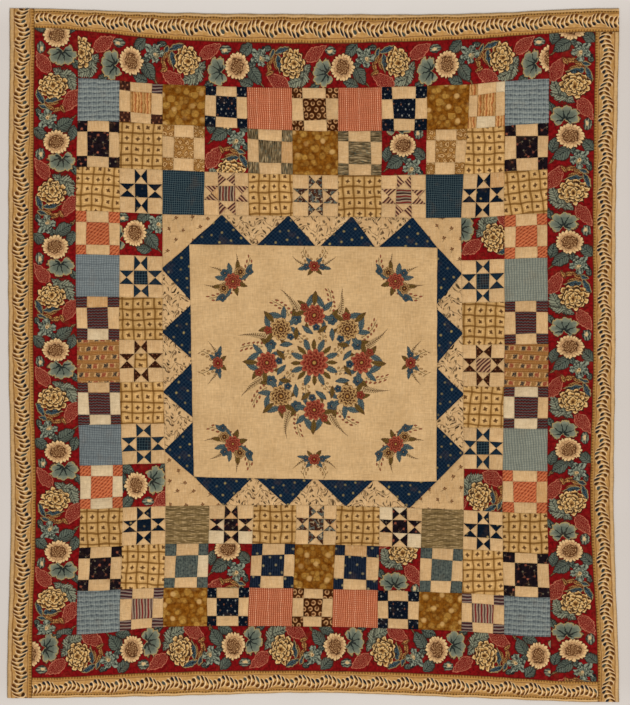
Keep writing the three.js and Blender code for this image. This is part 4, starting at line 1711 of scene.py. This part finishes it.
def squarePlace(start, end, share):
    return {"share": None, "point": medallionPoint(*start).lerp(medallionPoint(*end), share)}


def edgePoint(start, end, t):
    if start["share"] and end["share"]:
        (x0, y0), (x1, y1) = start["share"], end["share"]
        return medallionPoint(x0 + (x1 - x0) * t, y0 + (y1 - y0) * t)
    return start["point"].lerp(end["point"], t)


def awayFrom(point, start, end):
    run = end - start
    t = min(max((point - start).dot(run) / max(run.length_squared, 1e-9), 0), 1)
    return (point - start - run * t).length


def addMedallionPiece(name, printName, corners, steps):
    topLeft, topRight, bottomRight, bottomLeft = corners
    bm = clothGrid(*steps)
    uv, seam, tone = addLayers(bm)
    points = [corner["point"] for corner in corners]
    sides = list(zip(points, points[1:] + points[:1]))
    middle = sum(points, Vector((0, 0))) / 4
    if name != "centre_panel":
        shift = clothPlan["ringPrintShift"]
        middle = middle + Vector((luck.uniform(-shift, shift), luck.uniform(-shift, shift)))
    toneValue = luck.uniform(-clothPlan["ringTone"], clothPlan["ringTone"])
    for vert in bm.verts:
        u, v = vert.co.x, vert.co.y
        point = edgePoint(topLeft, topRight, u) * (1 - v) + edgePoint(bottomLeft, bottomRight, u) * v
        point += edgePoint(topLeft, bottomLeft, v) * (1 - u) + edgePoint(topRight, bottomRight, v) * u
        upper = points[0] * (1 - u) * (1 - v) + points[1] * u * (1 - v)
        point -= upper + points[2] * u * v + points[3] * (1 - u) * v
        onRim = min(u, v, 1 - u, 1 - v) < clothPlan["merge"]
        fromSeam = 0.0 if onRim else min(awayFrom(point, *side) for side in sides)
        point = wobbled(point)
        placeVert(vert, seam, point, fromSeam)
    prints = ["wreathPanel", "cornerPanel", "sidePanel"] if name == "centre_panel" else [printName]
    for face in bm.faces:
        face[tone] = toneValue
        for loop in face.loops:
            loop[uv].uv = (loop.vert.co.x - middle.x * mm, loop.vert.co.y - middle.y * mm)
        if len(prints) > 1:
            place = face.calc_center_median() / mm
            face.material_index = prints.index(panelPrintAt(place.x - middle.x, place.y - middle.y))
    wide = max(p.x for p in points) - min(p.x for p in points)
    high = max(p.y for p in points) - min(p.y for p in points)
    return layCloth(name, (wide * mm, high * mm), prints, bm)


corner = {name: rimPlace(share) for name, share in squareCorners.items()}
for place in corner.values():
    place["share"] = None
panelCorners = [corner["topLeft"], corner["topRight"], corner["bottomRight"], corner["bottomLeft"]]
panelSteps = (clothPlan["panelSteps"], clothPlan["panelSteps"])
addMedallionPiece("centre_panel", "wreathPanel", panelCorners, panelSteps)
ringSteps = (clothPlan["ringSteps"], clothPlan["ringSteps"])
firstTips, lastTips = {}, {}
for side, cornerNames, tips, bases in ringPlan:
    half = tipShare if tips[1] > tips[0] else -tipShare
    start, end = [squareCorners[cornerName] for cornerName in cornerNames]
    tipPlaces = [[rimPlace(rimShare(side, tip + way * half)) for way in (-1, 1)] for tip in tips]
    basePlaces = [[squarePlace(start, end, share) for share in base] for base in bases]
    firstTips[side], lastTips[side] = tipPlaces[0][0], tipPlaces[-1][1]
    for k, ((tipStart, tipEnd), (baseStart, baseEnd)) in enumerate(zip(tipPlaces, basePlaces)):
        corners = [tipStart, tipEnd, baseEnd, baseStart]
        name = "triangle_%s_%d" % (side, k + 1)
        addMedallionPiece(name, "dottedNavy", corners, ringSteps)
        if k + 1 < len(tipPlaces):
            corners = [tipEnd, tipPlaces[k + 1][0], basePlaces[k + 1][0], baseEnd]
            name = "vine_%s_%d" % (side, k + 1)
            addMedallionPiece(name, "vinePrint", corners, ringSteps)
for k, (side, cornerNames, tips, bases) in enumerate(ringPlan):
    following = ringPlan[(k + 1) % len(ringPlan)][0]
    corners = [lastTips[side], rimPlace(rimCorners[side]), firstTips[following], corner[cornerNames[1]]]
    addMedallionPiece("corner_after_" + side, "sprigPrint", corners, ringSteps)
print("medallion laid")

# Floor, light and camera
stagePlan = {
    "floorSize": 9.0,
    "floorDrop": 0.0015,
    "cameraHeight": 6.0,
    "cameraX": 0.006,
    "cameraY": 0.0087,
    "viewHigh": 2.238,
    "clipEnd": 50.0,
    "sensor": 36.0,
    "sky": 0.66,
    "lampShare": 0.34,
    "lampTilt": 48.0,
    "lampTurn": 38.0,
    "lampSoft": 24.0,
}


# the floor's colour, with painted shade for its sides and painted light for its ends
floorColourAndPaintedLight = {
    "middle": dye(216, 208, 200),
    "speckle": dye(212, 204, 195),
    "sides": dye(206, 195, 186),
    "ends": dye(223, 215, 207),
}


def addFloor():
    bm = bmesh.new()
    bmesh.ops.create_grid(bm, x_segments=2, y_segments=2, size=stagePlan["floorSize"] / 2)
    bmesh.ops.translate(bm, vec=(0, 0, -stagePlan["floorDrop"]), verts=bm.verts)
    mesh = bpy.data.meshes.new("floor")
    bm.to_mesh(mesh)
    bm.free()
    floor = bpy.data.objects.new("floor", mesh)
    bpy.context.scene.collection.objects.link(floor)
    material = bpy.data.materials.new("paleFloor")
    material.use_nodes = True
    material.node_tree.nodes.clear()
    start = Reading(material.node_tree)
    place = start.node("ShaderNodeTexCoord", {}, {}, "Object")
    speckle = start.node("ShaderNodeTexNoise", {}, {"Vector": place, "Scale": 3.0, "Detail": 3.0})
    colour = paint(floorColourAndPaintedLight["middle"], ramp(speckle, 0.35, 0.65), floorColourAndPaintedLight["speckle"])
    sideways, lengthways = bothOf(place)
    # painted shade: darker bands beside the quilt's left and right edges
    colour = paint(colour, ramp(sizeOf(sideways), 0.86, 1.06) * 0.8, floorColourAndPaintedLight["sides"])
    # painted light: paler above and below the quilt
    colour = paint(colour, ramp(sizeOf(lengthways), 1.04, 1.16) * 0.8, floorColourAndPaintedLight["ends"])
    inputs = {"Base Color": colour, "Roughness": 0.9, "Specular IOR Level": 0.1}
    shader = start.node("ShaderNodeBsdfPrincipled", {}, inputs)
    start.node("ShaderNodeOutputMaterial", {}, {"Surface": shader})
    mesh.materials.append(material)


def addLight():
    scene = bpy.context.scene
    world = bpy.data.worlds.new("studio")
    world.use_nodes = True
    world.node_tree.nodes["Background"].inputs["Color"].default_value = (1, 1, 1, 1)
    world.node_tree.nodes["Background"].inputs["Strength"].default_value = stagePlan["sky"]
    scene.world = world
    lamp = bpy.data.lights.new("window", "SUN")
    lamp.angle = math.radians(stagePlan["lampSoft"])
    tilt = math.radians(stagePlan["lampTilt"])
    lamp.energy = stagePlan["lampShare"] * math.pi / math.cos(tilt)
    lampObject = bpy.data.objects.new("window", lamp)
    lampObject.rotation_euler = (tilt, 0, math.radians(stagePlan["lampTurn"]))
    scene.collection.objects.link(lampObject)
    scene.view_settings.view_transform = "Standard"


def addCamera():
    camera = bpy.data.cameras.new("camera")
    camera.sensor_width = stagePlan["sensor"]
    camera.lens = stagePlan["sensor"] * stagePlan["cameraHeight"] / stagePlan["viewHigh"]
    camera.clip_end = stagePlan["clipEnd"]
    cameraObject = bpy.data.objects.new("camera", camera)
    cameraObject.location = (stagePlan["cameraX"], stagePlan["cameraY"], stagePlan["cameraHeight"])
    bpy.context.scene.collection.objects.link(cameraObject)
    bpy.context.scene.camera = cameraObject


addFloor()
addLight()
addCamera()
print("floor, light and camera set")
